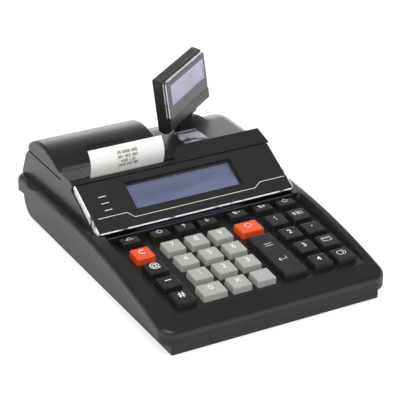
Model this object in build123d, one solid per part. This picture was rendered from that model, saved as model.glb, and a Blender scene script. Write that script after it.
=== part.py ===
# Portable ticket register: case, sprung keys, operator window, drop-in receipt
# printer under a hinged lid, and a customer display that swivels and tilts.
# Millimetres. +Z up, the key side faces -Y, origin on the floor under the middle
# of the case.
import math
import os

from build123d import *

# ---- driving dimensions: case ----
case_width = 172.0
case_depth = 238.0
plan_corner = 10.0
case_wall = 2.5
rim_round = 4.0

arch_apex_y = 20.0          # crown of the upper case, seen from the side
arch_apex_z = 36.8
arch_front_radius = 528.0
arch_rear_radius = 1225.0
seam_apex_y = 50.0          # parting line between the two case halves
seam_apex_z = 33.2
seam_front_radius = 735.0
seam_rear_radius = 575.0
band_apex_y = 30.0          # underside of the overhanging band
band_apex_z = 26.2
band_front_radius = 626.0
band_rear_radius = 806.0

foot_reach = 0.8            # how far the feet stand out of the underside
band_reach = 6.6            # how far the band stands out over the tub's sides
tub_front_set_back = 2.0
tub_rear_set_back = 2.0
tub_rear_round = 14.0
tub_corner = 1.2

# ---- driving dimensions: housing behind the keys ----
housing_half_width = 79.0
plate_front_y = -9.06       # lower edge of the window plate's top face
plate_front_z = 37.2
plate_slope = 28.25
plate_length = 44.0
plate_reveal = 1.2          # housing beside the plate
plate_thickness = 5.0
plate_corner = 3.0
plate_chamfer = 0.4
strip_slope = 15.7
ridge_y = 46.0
ridge_drop_run = 3.0
ridge_fade_x = 20.0
deck_z = 58.2
deck_rear_radius = 36.0
deck_arc_start_y = 83.7
deck_side_round = 8.0
housing_foot_z = 38.3

# ---- driving dimensions: tray and keys ----
tray_slope = 4.73
tray_anchor_y = -36.28      # a point of the tray floor, under the first key row
tray_anchor_z = 27.55
tray_left_x = -72.0
tray_right_x = 77.0
tray_front = -67.4          # along the tray, from the anchor
tray_rear = 22.96
tray_side_draft = 24.0
tray_corner = 3.0
tray_pan_left = 5.0         # pan beyond the tray floor on each side
tray_pan_right = 4.5
lip_width = 1.6
lip_half_width = 74.2
lip_top_z = 35.0
groove_floor_z = 31.5
key_height = 4.6
key_width = 13.5
key_depth = 13.1
key_draft = 5.6
key_corner = 1.2
key_edge_round = 0.7
key_pitch = 19.0
key_gap = 0.35
key_flange = 1.0
key_flange_thickness = 1.2
key_travel = 2.2
key_shell = 1.1
key_stem_radius = 2.4
key_stem_reach = 0.6        # stem end below the flange
function_row = 18.35
function_width = 13.3
function_depth = 7.6
zero_width = 17.3
subtotal_width = 16.8
total_width = 17.0
mat_thickness = 1.5
mat_pad_height = 1.0
mat_pad_radius = 3.4
board_thickness = 1.6
stake_radius = 1.8
stake_pin_radius = 1.2
stake_head_radius = 1.7
stake_offset = 2.75         # beyond the flanges of the outer keys
stake_head_height = 0.7

# ---- driving dimensions: operator window ----
operator_lcd_half_width = 42.3
operator_lcd_low = 14.2     # along the slope from the plate's lower edge
operator_lcd_high = 37.5
operator_lcd_depth = 3.2

# ---- driving dimensions: printer ----
lid_reveal = 0.4            # housing beside the lid
lid_right_x = 4.0
lid_front_y = 50.3
lid_front_z = 60.4
lid_crest_y = 83.0
lid_crest_z = 67.8
lid_front_radius = 55.0
lid_front_arc_y = 56.0
lid_brow_radius = 8.0
lid_rear_radius = 40.0
lid_wall = 2.3
lid_skirt_z = 54.8
lid_edge_round = 2.4
lid_hinge_reach = 28.5      # hinge behind the crest, measured on the lid's skin
barrel_radius = 3.2
knuckle_length = 6.2
hinge_pin_radius = 1.5
tongue_left_x = -65.6
tongue_right_x = 3.4
tongue_front_y = 35.8
tongue_front_z = 59.6
slot_front_y = 33.3
pull_left_x = -51.0         # finger pull pressed into the lid
pull_right_x = -18.0
pull_y = 66.0
pull_width = 8.0
pull_depth = 1.4
pull_corner = 3.6
pull_draft = 30
paper_left_x = -63.0
paper_right_x = -5.5
paper_thickness = 0.2
paper_gap = 0.3
platen_radius = 5.0
platen_y = 40.9
platen_z = 52.0
platen_shaft_radius = 1.5
shaft_end = 1.0             # platen shaft past its gear
cheek_thickness = 1.5
cheek_reach = 3.0           # lid cheeks beyond the platen's centre
gear_module = 0.5
platen_teeth = 18
motor_teeth = 10
gear_width = 3.0
gear_backlash = 0.1
gear_addendum = 0.9         # in modules
gear_dedendum = 1.2
gear_tooth_share = 0.9      # tooth width of half a pitch
gear_pressure_angle = 20
motor_radius = 6.0
motor_shaft_radius = 1.0
motor_length = 17.0
head_thickness = 1.5
head_margin = 0.5           # print head beyond each edge of the paper
head_above = 2.4            # print head above the platen's centre
head_below = 4.0            # print head below the motor's centre
frame_lead = 5.0            # side plates ahead of the slot
frame_bevel = 3.0
frame_drop = 2.0            # top of the side plates below the platen's centre
carrier_thickness = 2.4
carrier_drop = 8.0          # lower edge of the head carrier below the motor's centre
foot_bar_width = 6.0
foot_bar_thickness = 2.0
roll_radius = 22.0
roll_core_radius = 6.0
roll_y = 84.0
roll_z = 39.5
trough_radius = 24.0
trough_wall = 2.0
trough_play = 1.0           # beside the roll, at each end
trough_rim = 3.0            # rim of the trough above the roll's centre
receipt_rise = 18.0
receipt_straight = 2.6      # straight run above the print line
receipt_slot_gap = 1.1      # behind the front edge of the slot
receipt_slot_rise = 0.4
receipt_bow = 0.4           # how far the loose end leans ahead of the slot
receipt_curl = 4.6          # how far its top curls back

# ---- driving dimensions: customer display ----
turret_x = 40.6
turret_y = 90.2
plinth_radius = 17.5
plinth_height = 14.0
disc_radius = 14.5
disc_thickness = 1.9
neck_radius = 9.0
snap_reach = 1.5
hub_radius = 11.5
hub_top_z = 61.4
tilt_axis_z = 63.2
display_heading = 38.1
display_lean = 7.7
display_width = 71.2
display_front_height = 37.2
display_rear_height = 40.3
display_front = 6.7         # lens face ahead of the tilt axis
display_rear = 3.6
display_corner = 2.2
display_round = 1.2
display_clear = 2.6         # underside of the head above the tilt axis
display_belly = 2.9         # rounded ends of the underside, below its middle
yoke_half_width = 20.0
yoke_radius = 2.2
ear_width = 4.0
ear_radius = 2.6
ear_pin_radius = 1.2
lens_half_width = 34.8
lens_low = 7.6
lens_high = 36.4
lens_thickness = 2.8
lens_corner = 2.5
display_lcd_left_x = -27.0
display_lcd_right_x = 34.2
display_lcd_low = 14.6
display_lcd_high = 31.4
display_lcd_thickness = 2.0
rib_pitch = 2.0
rib_depth = 0.4
rib_margin = 5.0

# ---- driving dimensions: inside and underside ----
foot_radius = 7.0
foot_recess = 1.2
foot_side_inset = 20.0      # from the outline of the case
foot_front_inset = 21.0
foot_rear_inset = 29.0
boss_radius = 4.0
boss_side_inset = 13.4
boss_front_inset = 10.6
boss_rear_inset = 21.0
boss_split_z = 9.0
screw_radius = 1.5
screw_head_radius = 2.9
screw_head_height = 2.0
screw_length = 12.0
screw_recess = 4.0
battery_x = -30.0
battery_y = -36.0
battery_size = 49.0
battery_height = 9.0
battery_corner = 4.0
door_size = 56.0
door_thickness = 1.2
main_board_left_x = 9.0
main_board_right_x = 68.2
main_board_front_y = -4.0
main_board_z = 8.0
post_radius = 3.0
socket_height = 8.0
socket_depth = 15.0
socket_wall = 1.2
socket_back = 3.0           # solid block behind each cavity
inlet_pin_radius = 1.0
inlet_pin_recess = 2.0
socket_recess = 0.4         # face of the sockets inside the tub's rear
socket_overhang = 12.6      # sockets past the edge of the board
power_x = 20.0
usb_x = 40.0
drawer_x = 60.0
power_width = 9.0
usb_width = 14.6
drawer_width = 13.0

# ---- clearances ----
running_gap = 0.3
slide_gap = 0.1
shaft_gap = 0.05
corner_least = 0.5          # smallest corner inside a wall
beyond = 60.0               # overshoot of cutting solids

# ---- derived places ----
half_width = case_width / 2
half_depth = case_depth / 2
tub_half_width = half_width - band_reach
tub_front_y = -half_depth + tub_front_set_back
tub_rear_y = half_depth - tub_rear_set_back
plate_half_width = housing_half_width - plate_reveal
lid_left_x = -housing_half_width + lid_reveal
foot_x = half_width - foot_side_inset
foot_front_y = -half_depth + foot_front_inset
foot_rear_y = half_depth - foot_rear_inset
boss_x = half_width - boss_side_inset
boss_front_y = -half_depth + boss_front_inset
boss_rear_y = half_depth - boss_rear_inset
socket_rear_y = tub_rear_y - socket_recess
main_board_rear_y = socket_rear_y - socket_overhang
plate_tan = math.tan(math.radians(plate_slope))
plate_cos = math.cos(math.radians(plate_slope))
plate_sin = math.sin(math.radians(plate_slope))
strip_tan = math.tan(math.radians(strip_slope))
key_flange_top = -case_wall - running_gap
key_flange_bottom = key_flange_top - key_flange_thickness
key_stem_bottom = key_flange_bottom - key_stem_reach
mat_top = key_stem_bottom - key_travel - running_gap - mat_pad_height
board_top = mat_top - mat_thickness
board_bottom = board_top - board_thickness
tub_floor_z = foot_reach + case_wall
hinge_dir_z = math.sqrt(lid_rear_radius ** 2 - lid_hinge_reach ** 2)
hinge_share = (lid_rear_radius - barrel_radius) / lid_rear_radius
hinge_y = lid_crest_y + lid_hinge_reach * hinge_share
hinge_z = lid_crest_z - lid_rear_radius + hinge_dir_z * hinge_share
rear_wall_top_z = hinge_z - barrel_radius - 2 * running_gap
gear_distance = gear_module * (platen_teeth + motor_teeth) / 2 + gear_backlash
motor_z = platen_z - gear_distance
trough_z = roll_z - roll_radius - running_gap + trough_radius
bay_right_x = lid_right_x + running_gap
paper_orbit = platen_radius + paper_gap + paper_thickness / 2
paper_y = platen_y - paper_orbit
plate_plane = Plane(
    origin=(0, plate_front_y, plate_front_z),
    x_dir=(1, 0, 0),
    z_dir=(0, -plate_sin, plate_cos),
)
tray_plane = Plane(
    origin=(0, tray_anchor_y, tray_anchor_z),
    x_dir=(1, 0, 0),
    z_dir=(0, -math.sin(math.radians(tray_slope)), math.cos(math.radians(tray_slope))),
)


# ---- helpers ----
def yz_prism(outline, x_min, x_max):
    """Solid between two X planes with the given (Y, Z) outline."""
    face = Plane.YZ * make_face(outline)
    return Pos(X=x_min) * extrude(face, x_max - x_min, dir=(1, 0, 0))


def yz_polygon(points, x_min, x_max):
    return yz_prism(Polyline(*points, close=True), x_min, x_max)


def span_box(x_min, x_max, y_min, y_max, z_min, z_max):
    box = Box(x_max - x_min, y_max - y_min, z_max - z_min, align=Align.MIN)
    return Pos(x_min, y_min, z_min) * box


def x_cylinder(radius, x_min, x_max, y, z):
    rod = Cylinder(radius, x_max - x_min, align=(Align.CENTER, Align.CENTER, Align.MIN))
    return Pos(x_min, y, z) * Rot(Y=90) * rod


def z_cylinder(radius, x, y, z_min, z_max):
    rod = Cylinder(radius, z_max - z_min, align=(Align.CENTER, Align.CENTER, Align.MIN))
    return Pos(x, y, z_min) * rod


def circle_drop(radius, offset):
    return radius - math.sqrt(radius ** 2 - offset ** 2)


def under_arch(apex_y, apex_z, front_radius, rear_radius):
    """Everything below a side-view arch of two arcs that meet at the crown."""
    reach = half_depth + 2 * plan_corner

    def height(y):
        radius = front_radius if y < apex_y else rear_radius
        return apex_z - circle_drop(radius, y - apex_y)

    def arc(y_from, y_to):
        ends = [(y, height(y)) for y in (y_from, (y_from + y_to) / 2, y_to)]
        return ThreePointArc(*ends)

    front = (-reach, height(-reach))
    rear = (reach, height(reach))
    outline = arc(-reach, apex_y) + arc(apex_y, reach)
    outline += Polyline(rear, (reach, -beyond), (-reach, -beyond), front)
    return yz_prism(outline, -half_width - beyond, half_width + beyond)


def plan_block(inset, z_min, z_max):
    width = case_width - 2 * inset
    depth = case_depth - 2 * inset
    plan = RectangleRounded(width, depth, max(plan_corner - inset, 1))
    return Pos(Z=z_min) * extrude(plan, z_max - z_min)


def arch_height(y):
    radius = arch_front_radius if y < arch_apex_y else arch_rear_radius
    return arch_apex_z - circle_drop(radius, y - arch_apex_y)


def tray_height(y):
    return tray_anchor_z + (y - tray_anchor_y) * math.tan(math.radians(tray_slope))


def seat_height(y):
    """Height of the sloped face that the window plate lies on."""
    return plate_front_z + (y - plate_front_y) * plate_tan - plate_thickness / plate_cos


# ---- case halves ----
def rim_solid():
    """Full-width rounded block below the crown, with its top edge rounded."""
    arch = under_arch(arch_apex_y, arch_apex_z, arch_front_radius, arch_rear_radius)
    block = plan_block(0, 0, arch_apex_z + beyond) & arch

    def on_rim(edge):
        middle = edge @ 0.5
        crown_line = abs(middle.X) < 1 and abs(abs(middle.Y) - half_depth) > 1
        return abs(middle.Z - arch_height(middle.Y)) < 0.05 and not crown_line

    return fillet(block.edges().filter_by(on_rim), rim_round)


def rear_arc(inset):
    """Start, middle and foot of the arc behind the deck, and the wall's end below it."""
    radius = deck_rear_radius - inset
    centre_z = deck_z - deck_rear_radius
    foot_offset = math.sqrt(radius ** 2 - (housing_foot_z - centre_z) ** 2)
    turn = math.atan2(foot_offset, housing_foot_z - centre_z) / 2
    middle = (
        deck_arc_start_y + radius * math.sin(turn),
        centre_z + radius * math.cos(turn),
    )
    foot = (deck_arc_start_y + foot_offset, housing_foot_z)
    tail = (foot[0] + (housing_foot_z - centre_z) * housing_foot_z / foot_offset, 0)
    return (deck_arc_start_y, deck_z - inset), middle, foot, tail


def housing_profile(inset):
    """Side view of the housing: window seat, strip, ridge, deck and rear wall."""
    seat_front_y = plate_front_y + plate_thickness * plate_sin + inset
    seat_offset = inset / plate_cos
    step_low_y = plate_front_y + (plate_length + running_gap) * plate_cos
    step_low_y += plate_thickness * plate_sin + inset / 2
    strip_front_y = plate_front_y + (plate_length + running_gap) * plate_cos + inset / 2
    strip_front_z = plate_front_z + (plate_length + running_gap) * plate_sin - inset
    crest_z = strip_front_z + (ridge_y - strip_front_y) * strip_tan
    deck_front_y = ridge_y + ridge_drop_run - inset / 2
    start, middle, foot, tail = rear_arc(inset)
    outline = Polyline(
        tail,
        (seat_front_y, 0),
        (seat_front_y, seat_height(seat_front_y) - seat_offset),
        (step_low_y, seat_height(step_low_y) - seat_offset),
        (strip_front_y, strip_front_z),
        (ridge_y, crest_z),
        (deck_front_y, start[1]),
        start,
    )
    outline += ThreePointArc(start, middle, foot)
    outline += Line(foot, tail)
    return outline


def deck_profile():
    start, middle, foot, tail = rear_arc(0)
    outline = Polyline(tail, (ridge_y, 0), (ridge_y, deck_z), start)
    outline += ThreePointArc(start, middle, foot)
    outline += Line(foot, tail)
    return outline


def deck_solid():
    """Rear half of the housing, with the right-hand edge rounded."""
    deck = yz_prism(deck_profile(), -housing_half_width, housing_half_width)

    def right_shoulder(edge):
        middle = edge @ 0.5
        behind = middle.Y > ridge_y + 1 and middle.Z > 1
        return abs(middle.X - housing_half_width) < 0.01 and behind

    deck = fillet(deck.edges().filter_by(right_shoulder), deck_side_round)
    return deck & plan_block(running_gap, 0, 2 * beyond)


def housing_outer():
    front = yz_prism(housing_profile(0), -housing_half_width, housing_half_width)
    front &= span_box(
        -half_width, half_width, -half_depth, ridge_y + ridge_drop_run, 0, beyond * 2
    )
    fade = Polyline(
        (bay_right_x, tongue_front_z + 1),
        (ridge_fade_x, deck_z + beyond / 10),
        (bay_right_x, deck_z + beyond / 10),
        close=True,
    )
    fade_cut = extrude(Plane.XZ * make_face(fade), -beyond * 2)
    fade_cut &= span_box(-half_width, half_width, tongue_front_y, beyond * 2, 0, beyond * 2)
    return front - fade_cut + deck_solid()


def tray_pocket():
    """Recess that the keys stand in, widening upwards."""
    width = tray_right_x - tray_left_x
    length = tray_rear - tray_front
    centre = Pos((tray_left_x + tray_right_x) / 2, (tray_front + tray_rear) / 2)
    floor = centre * RectangleRounded(width, length, tray_corner)
    side_cut = extrude(floor, key_height * 2, taper=-tray_side_draft)
    rear_limit = Pos(Y=tray_rear - beyond * 2) * Box(beyond * 6, beyond * 4, beyond)
    return tray_plane * (side_cut & rear_limit)


def tray_pan(clearance):
    """Block that the key tray is cut from, with room around it for the case."""
    tray_rear_y = tray_anchor_y + tray_rear * math.cos(math.radians(tray_slope))
    front_y = -half_depth + 2 * case_wall + plan_corner / 2 - clearance
    rear_y = tray_rear_y + 3 * lip_width + clearance
    low = case_wall + clearance
    return yz_polygon(
        [
            (front_y, tray_height(front_y) - low),
            (rear_y, tray_height(rear_y) - low),
            (rear_y, beyond),
            (front_y, beyond),
        ],
        tray_left_x - tray_pan_left - clearance,
        tray_right_x + tray_pan_right + clearance,
    )


def case_screw_places():
    return [(side * boss_x, y) for side in (-1, 1) for y in (boss_front_y, boss_rear_y)]


def upper_shell():
    seam = under_arch(seam_apex_y, seam_apex_z, seam_front_radius, seam_rear_radius)
    rim = rim_solid()
    outer = (rim - seam) + (housing_outer() - seam)
    hollow = plan_block(case_wall, -1, beyond * 2) & under_arch(
        arch_apex_y, arch_apex_z - case_wall, arch_front_radius, arch_rear_radius
    )
    housing_inner_half = housing_half_width - case_wall
    housing_hollow = yz_prism(
        housing_profile(case_wall), -housing_inner_half, housing_inner_half
    )
    hollow += housing_hollow & plan_block(case_wall, -1, 2 * beyond)
    shell = outer - hollow

    # Floor and walls of the key tray, and the seat under the window plate.
    tray_rear_y = tray_anchor_y + tray_rear * math.cos(math.radians(tray_slope))
    lip_rear_y = tray_rear_y + lip_width
    tray_block = tray_pan(0)
    seat_rear_y = plate_front_y + plate_length * plate_cos + plate_thickness * plate_sin
    seat_front_y = lip_rear_y - lip_width
    seat_slab = case_wall / plate_cos
    seat_block = yz_polygon(
        [
            (seat_front_y, groove_floor_z - case_wall),
            (plate_front_y + plate_thickness * plate_sin, groove_floor_z - case_wall),
            (seat_rear_y + lip_width, seat_height(seat_rear_y + lip_width) - seat_slab),
            (seat_rear_y + lip_width, seat_height(seat_rear_y)),
            (seat_front_y, seat_height(seat_rear_y)),
        ],
        -housing_half_width,
        housing_half_width,
    )
    shell += (tray_block & rim) + (seat_block & (rim + housing_outer()))
    plate_pocket = plate_plane * Pos(0, -running_gap, -plate_thickness) * Box(
        2 * (plate_half_width + slide_gap),
        plate_length + 2 * running_gap,
        beyond,
        align=(Align.CENTER, Align.MIN, Align.MIN),
    )
    shell -= plate_pocket
    shell -= tray_pocket()
    shell -= span_box(
        -lip_half_width, lip_half_width, lip_rear_y, plate_front_y + 2 * lip_width,
        groove_floor_z, beyond,
    )
    shell -= span_box(
        -lip_half_width, lip_half_width, tray_rear_y - lip_width, lip_rear_y, lip_top_z, beyond
    )
    shell -= lcd_window_cut()
    for key in keys:
        shell -= key_well(key)
    shell = shell - bay_cuts() + bay_walls()
    shell -= slot_cut()
    shell = shell + display_plinth() - display_plinth_cuts()
    for place in tray_stakes:
        shell += tray_plane * Pos(*place) * stake()
    for x, y in case_screw_places():
        top_z = housing_foot_z + 2 * case_wall if y > 0 else arch_height(y) - case_wall / 2
        boss = z_cylinder(boss_radius, x, y, boss_split_z, top_z)
        if y > 0:
            rib_left, rib_right = sorted((x, math.copysign(housing_half_width - 1, x)))
            boss += span_box(rib_left, rib_right, y - 1, y + 1, housing_foot_z - 1, top_z)
        bore_top = foot_reach + screw_recess + screw_length + slide_gap
        shell += boss & (rim + housing_outer())
        shell -= z_cylinder(screw_radius + shaft_gap, x, y, boss_split_z, bore_top)
    return shell


def lcd_window_cut():
    height = operator_lcd_high - operator_lcd_low + 2 * running_gap
    width = 2 * (operator_lcd_half_width + running_gap)
    cut = Box(width, height, beyond / 4, align=(Align.CENTER, Align.MIN, Align.MAX))
    return plate_plane * Pos(0, operator_lcd_low - running_gap, -plate_thickness / 2) * cut


def bay_cuts():
    """Opening over the paper roll and over the tongue of the lid."""
    roof = span_box(
        -beyond * 3, bay_right_x, lid_front_y - running_gap, half_depth + 1, housing_foot_z, beyond * 2
    )
    flatten = yz_polygon(
        [
            (tongue_front_y, tongue_front_z),
            (lid_front_y, lid_front_z),
            (lid_front_y, beyond * 2),
            (tongue_front_y, beyond * 2),
        ],
        -half_width,
        bay_right_x,
    )
    return roof + flatten


def bay_walls():
    """Left wall, rear wall with hinge knuckles, and the wall beside the deck."""
    foot_y = deck_arc_start_y + math.sqrt(
        deck_rear_radius ** 2 - (housing_foot_z - deck_z + deck_rear_radius) ** 2
    )
    wall_top_z = lid_skirt_z - running_gap * 2
    rear_top_y = hinge_y + hinge_pin_radius
    left_wall = yz_polygon(
        [
            (lid_front_y - 2 * running_gap, housing_foot_z),
            (lid_front_y - 2 * running_gap, wall_top_z),
            (hinge_y - barrel_radius, wall_top_z),
            (rear_top_y, rear_wall_top_z),
            (foot_y, housing_foot_z),
        ],
        -housing_half_width,
        -housing_half_width + case_wall,
    )
    rear_wall = yz_polygon(
        [
            (foot_y - case_wall, housing_foot_z - case_wall),
            (rear_top_y - case_wall, rear_wall_top_z),
            (rear_top_y, rear_wall_top_z),
            (foot_y, housing_foot_z),
            (foot_y, housing_foot_z - case_wall),
        ],
        -housing_half_width,
        bay_right_x + case_wall,
    )
    right_wall = yz_prism(deck_profile(), bay_right_x, bay_right_x + case_wall)
    right_wall &= span_box(
        bay_right_x, bay_right_x + case_wall, lid_front_y, half_depth, housing_foot_z, deck_z
    )
    strip_end = yz_polygon(
        [
            (tongue_front_y, tongue_front_z - case_wall),
            (tongue_front_y, tongue_front_z),
            (lid_front_y - running_gap, lid_front_z),
            (lid_front_y - running_gap, lid_front_z - case_wall),
        ],
        -housing_half_width,
        tongue_left_x - running_gap,
    )
    cheek = span_box(
        -housing_half_width,
        tongue_left_x - running_gap,
        lid_front_y - running_gap - case_wall,
        lid_front_y - running_gap,
        housing_foot_z,
        lid_front_z - case_wall / 2,
    )
    walls = left_wall + rear_wall + right_wall + strip_end + cheek
    for x_min in (knuckle_left_x, knuckle_right_x):
        x_max = x_min + knuckle_length
        knuckle_radius = barrel_radius - running_gap
        knuckle = x_cylinder(knuckle_radius, x_min, x_max, hinge_y, hinge_z)
        knuckle += span_box(
            x_min, x_max, rear_top_y - case_wall, rear_top_y,
            rear_wall_top_z - case_wall, hinge_z,
        )
        walls += knuckle
    return walls - x_cylinder(
        hinge_pin_radius + shaft_gap, -housing_half_width + case_wall, bay_right_x, hinge_y, hinge_z
    )


def slot_cut():
    return span_box(
        tongue_left_x - running_gap,
        tongue_right_x + running_gap,
        slot_front_y,
        lid_front_y + 1,
        lid_skirt_z - 2 * case_wall,
        beyond * 2,
    )


def display_plinth():
    return z_cylinder(plinth_radius, turret_x, turret_y, deck_z - plinth_height, deck_z)


def display_plinth_cuts():
    plate_low_z = deck_z - disc_thickness - running_gap - case_wall
    low_z = deck_z - plinth_height - 1
    cuts = z_cylinder(plinth_radius - case_wall, turret_x, turret_y, low_z, plate_low_z)
    cuts += z_cylinder(neck_radius + running_gap, turret_x, turret_y, low_z, deck_z)
    cuts += z_cylinder(
        disc_radius + running_gap, turret_x, turret_y, plate_low_z + case_wall, deck_z + 1
    )
    return cuts


def stake():
    """Heat-staked post that carries the key board under the tray."""
    post = z_cylinder(stake_radius, 0, 0, board_top, -case_wall / 2)
    pin = z_cylinder(stake_pin_radius, 0, 0, board_bottom, board_top)
    head = z_cylinder(stake_head_radius, 0, 0, board_bottom - stake_head_height, board_bottom)
    return post + pin + head


def tub_block(inset):
    """Lower case body in side view, with its curved rear and rounded corners."""
    front_y = tub_front_y + inset
    rear_y = tub_rear_y - inset
    low_z = foot_reach + inset
    radius = tub_rear_round - inset
    block = span_box(
        -tub_half_width + inset, tub_half_width - inset, front_y, rear_y, low_z, beyond
    )
    rear_low = block.edges().filter_by(Axis.X).sort_by(Axis.Z)[:2].sort_by(Axis.Y)[-1:]
    block = fillet(rear_low, radius)
    front_corners = block.edges().filter_by(Axis.Z).sort_by(Axis.Y)[:2]
    return fillet(front_corners, max(tub_corner - inset, corner_least))


def lower_tub():
    seam = under_arch(seam_apex_y, seam_apex_z, seam_front_radius, seam_rear_radius)
    band_low = under_arch(band_apex_y, band_apex_z, band_front_radius, band_rear_radius)
    band_floor = under_arch(
        band_apex_y, band_apex_z + case_wall, band_front_radius, band_rear_radius
    )
    outer = (tub_block(0) & seam) + ((rim_solid() & seam) - band_low)
    inner = tub_block(case_wall) + (plan_block(case_wall, 0, beyond) - band_floor)
    tub = outer - inner - tray_pan(running_gap)
    for x, y in case_screw_places():
        tub += z_cylinder(boss_radius, x, y, foot_reach, boss_split_z)
        tub -= z_cylinder(screw_radius + running_gap, x, y, 0, boss_split_z)
        tub -= z_cylinder(
            screw_head_radius + running_gap, x, y, 0, foot_reach + screw_recess
        )
    for x, y in foot_places():
        tub -= z_cylinder(foot_radius + slide_gap, x, y, 0, foot_reach + foot_recess)
    for x, y in board_posts():
        tub += z_cylinder(post_radius, x, y, tub_floor_z - 1, main_board_z)
        tub += z_cylinder(stake_pin_radius, x, y, main_board_z, main_board_z + board_thickness)
    door_half = door_size / 2 + running_gap
    tub -= span_box(
        battery_x - door_half, battery_x + door_half, battery_y - door_half,
        battery_y + door_half, 0, foot_reach + door_thickness,
    )
    pass_half = battery_size / 2 + running_gap
    tub -= span_box(
        battery_x - pass_half, battery_x + pass_half, battery_y - pass_half,
        battery_y + pass_half, 0, tub_floor_z + 1,
    )
    for x, width in sockets:
        tub -= span_box(
            x - width / 2 - running_gap, x + width / 2 + running_gap,
            socket_rear_y - socket_depth, half_depth + 1,
            main_board_z + board_thickness - running_gap,
            main_board_z + board_thickness + socket_height + running_gap,
        )
    return tub


def foot_places():
    return [(side * foot_x, y) for side in (-1, 1) for y in (foot_front_y, foot_rear_y)]


def board_posts():
    inset = 2 * post_radius
    return [
        (x, y)
        for x in (main_board_left_x + inset, main_board_right_x - inset)
        for y in (main_board_front_y + inset, main_board_rear_y - socket_depth - inset)
    ]


# ---- keys ----
def key(name, x, row, width=key_width, depth=key_depth):
    return {"name": name, "x": x, "row": row, "width": width, "depth": depth}


row_place = [-index * key_pitch for index in range(4)]
memory_x = -58.8
number_x = (-35.4, -16.9, 1.5)
wide_x = 24.0
department_x = 46.4
end_x = 64.5
keys = [
    key("key_clear", memory_x, row_place[0]),
    key("key_print", memory_x, row_place[1]),
    key("key_minus", memory_x, row_place[2]),
    key("key_lookup", memory_x, row_place[3]),
]
for row_index, digits in enumerate(((7, 8, 9), (4, 5, 6), (1, 2, 3))):
    for column_x, digit in zip(number_x, digits):
        keys.append(key(f"key_{digit}", column_x, row_place[row_index]))
keys += [
    key("key_0", number_x[0] - (zero_width - key_width) / 2, row_place[3], zero_width),
    key("key_times", number_x[1], row_place[3]),
    key("key_point", number_x[2], row_place[3]),
    key("key_subtotal", wide_x, row_place[0], subtotal_width),
    key("key_total", wide_x, row_place[2], total_width, key_depth + 2 * key_pitch),
]
for row_index in range(4):
    keys.append(key(f"key_department_{row_index + 1}", department_x, row_place[row_index]))
for row_index, name in enumerate(("bar", "dot", "card", "coin")):
    keys.append(key(f"key_{name}", end_x, row_place[row_index]))
function_x = (-59.0, -36.0, -16.7, 1.2, 25.3, 45.9, 64.8)
function_names = ("eject", "power", "up", "down", "percent_minus", "percent_plus", "home")
for column_x, name in zip(function_x, function_names):
    keys.append(key(f"key_{name}", column_x, function_row, function_width, function_depth))

gap_left_x = memory_x - key_width / 2 - key_flange - stake_offset
gap_right_x = end_x + key_width / 2 + key_flange + stake_offset
gap_mid_x = (number_x[2] + wide_x - (subtotal_width - key_width) / 2) / 2 + 2 * slide_gap
stake_rows = (-key_pitch / 2, -2.5 * key_pitch)
tray_stakes = [(x, y) for x in (gap_left_x, gap_mid_x, gap_right_x) for y in stake_rows]


def draft_run():
    return key_height * math.tan(math.radians(key_draft))


def key_cap(spec):
    """Hollow cap with a guide flange below the tray and a stem over its pad."""
    width = spec["width"] + 2 * draft_run()
    depth = spec["depth"] + 2 * draft_run()
    top = extrude(RectangleRounded(width, depth, key_corner), key_height, taper=key_draft)
    top = fillet(top.faces().sort_by(Axis.Z)[-1].edges(), key_edge_round)
    skirt = Pos(Z=key_flange_bottom) * extrude(
        RectangleRounded(width, depth, key_corner), -key_flange_bottom
    )
    flange = Pos(Z=key_flange_bottom) * extrude(
        RectangleRounded(width + 2 * key_flange, depth + 2 * key_flange, key_corner),
        key_flange_thickness,
    )
    hollow_depth = key_height - key_shell - key_flange_bottom
    walls = 2 * key_shell + draft_run()
    hollow = Pos(Z=key_flange_bottom) * extrude(
        RectangleRounded(width - walls, depth - walls, key_corner), hollow_depth
    )
    stem = z_cylinder(key_stem_radius, 0, 0, key_stem_bottom, key_height - key_shell)
    cap = top + skirt + flange - hollow + stem
    return tray_plane * Pos(spec["x"], spec["row"]) * cap


def key_well(spec):
    width = spec["width"] + 2 * draft_run() + 2 * key_gap
    depth = spec["depth"] + 2 * draft_run() + 2 * key_gap
    well = Box(width, depth, 3 * case_wall)
    return tray_plane * Pos(spec["x"], spec["row"], -case_wall / 2) * well


def mat_outline():
    left = gap_left_x - stake_radius
    right = gap_right_x + stake_pin_radius + 2 * slide_gap
    front = row_place[3] - key_depth / 2 - key_flange - 1
    rear = function_row + function_depth / 2
    return left, right, front, rear


def key_mat():
    left, right, front, rear = mat_outline()
    mat = span_box(left, right, front, rear, board_top, mat_top)
    for spec in keys:
        mat += z_cylinder(
            mat_pad_radius, spec["x"], spec["row"], mat_top, mat_top + mat_pad_height
        )
    for x, y in tray_stakes:
        mat -= z_cylinder(stake_radius + running_gap, x, y, board_top - 1, mat_top + 1)
    return tray_plane * mat


def keypad_board():
    left, right, front, rear = mat_outline()
    board = span_box(left, right, front, rear, board_bottom, board_top)
    for x, y in tray_stakes:
        board -= z_cylinder(stake_pin_radius + slide_gap, x, y, board_bottom - 1, board_top + 1)
    return tray_plane * board


# ---- operator window ----
def window_plate():
    plate = span_box(
        -plate_half_width, plate_half_width, 0, plate_length, -plate_thickness, 0
    )
    low_corners = plate.edges().filter_by(Axis.Z).sort_by(Axis.Y)[:2]
    plate = fillet(low_corners, plate_corner)
    plate = chamfer(plate.faces().sort_by(Axis.Z)[-1].edges(), plate_chamfer)
    return plate_plane * plate


def operator_lcd():
    module = span_box(
        -operator_lcd_half_width,
        operator_lcd_half_width,
        operator_lcd_low,
        operator_lcd_high,
        -plate_thickness - operator_lcd_depth,
        -plate_thickness,
    )
    return plate_plane * module


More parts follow.
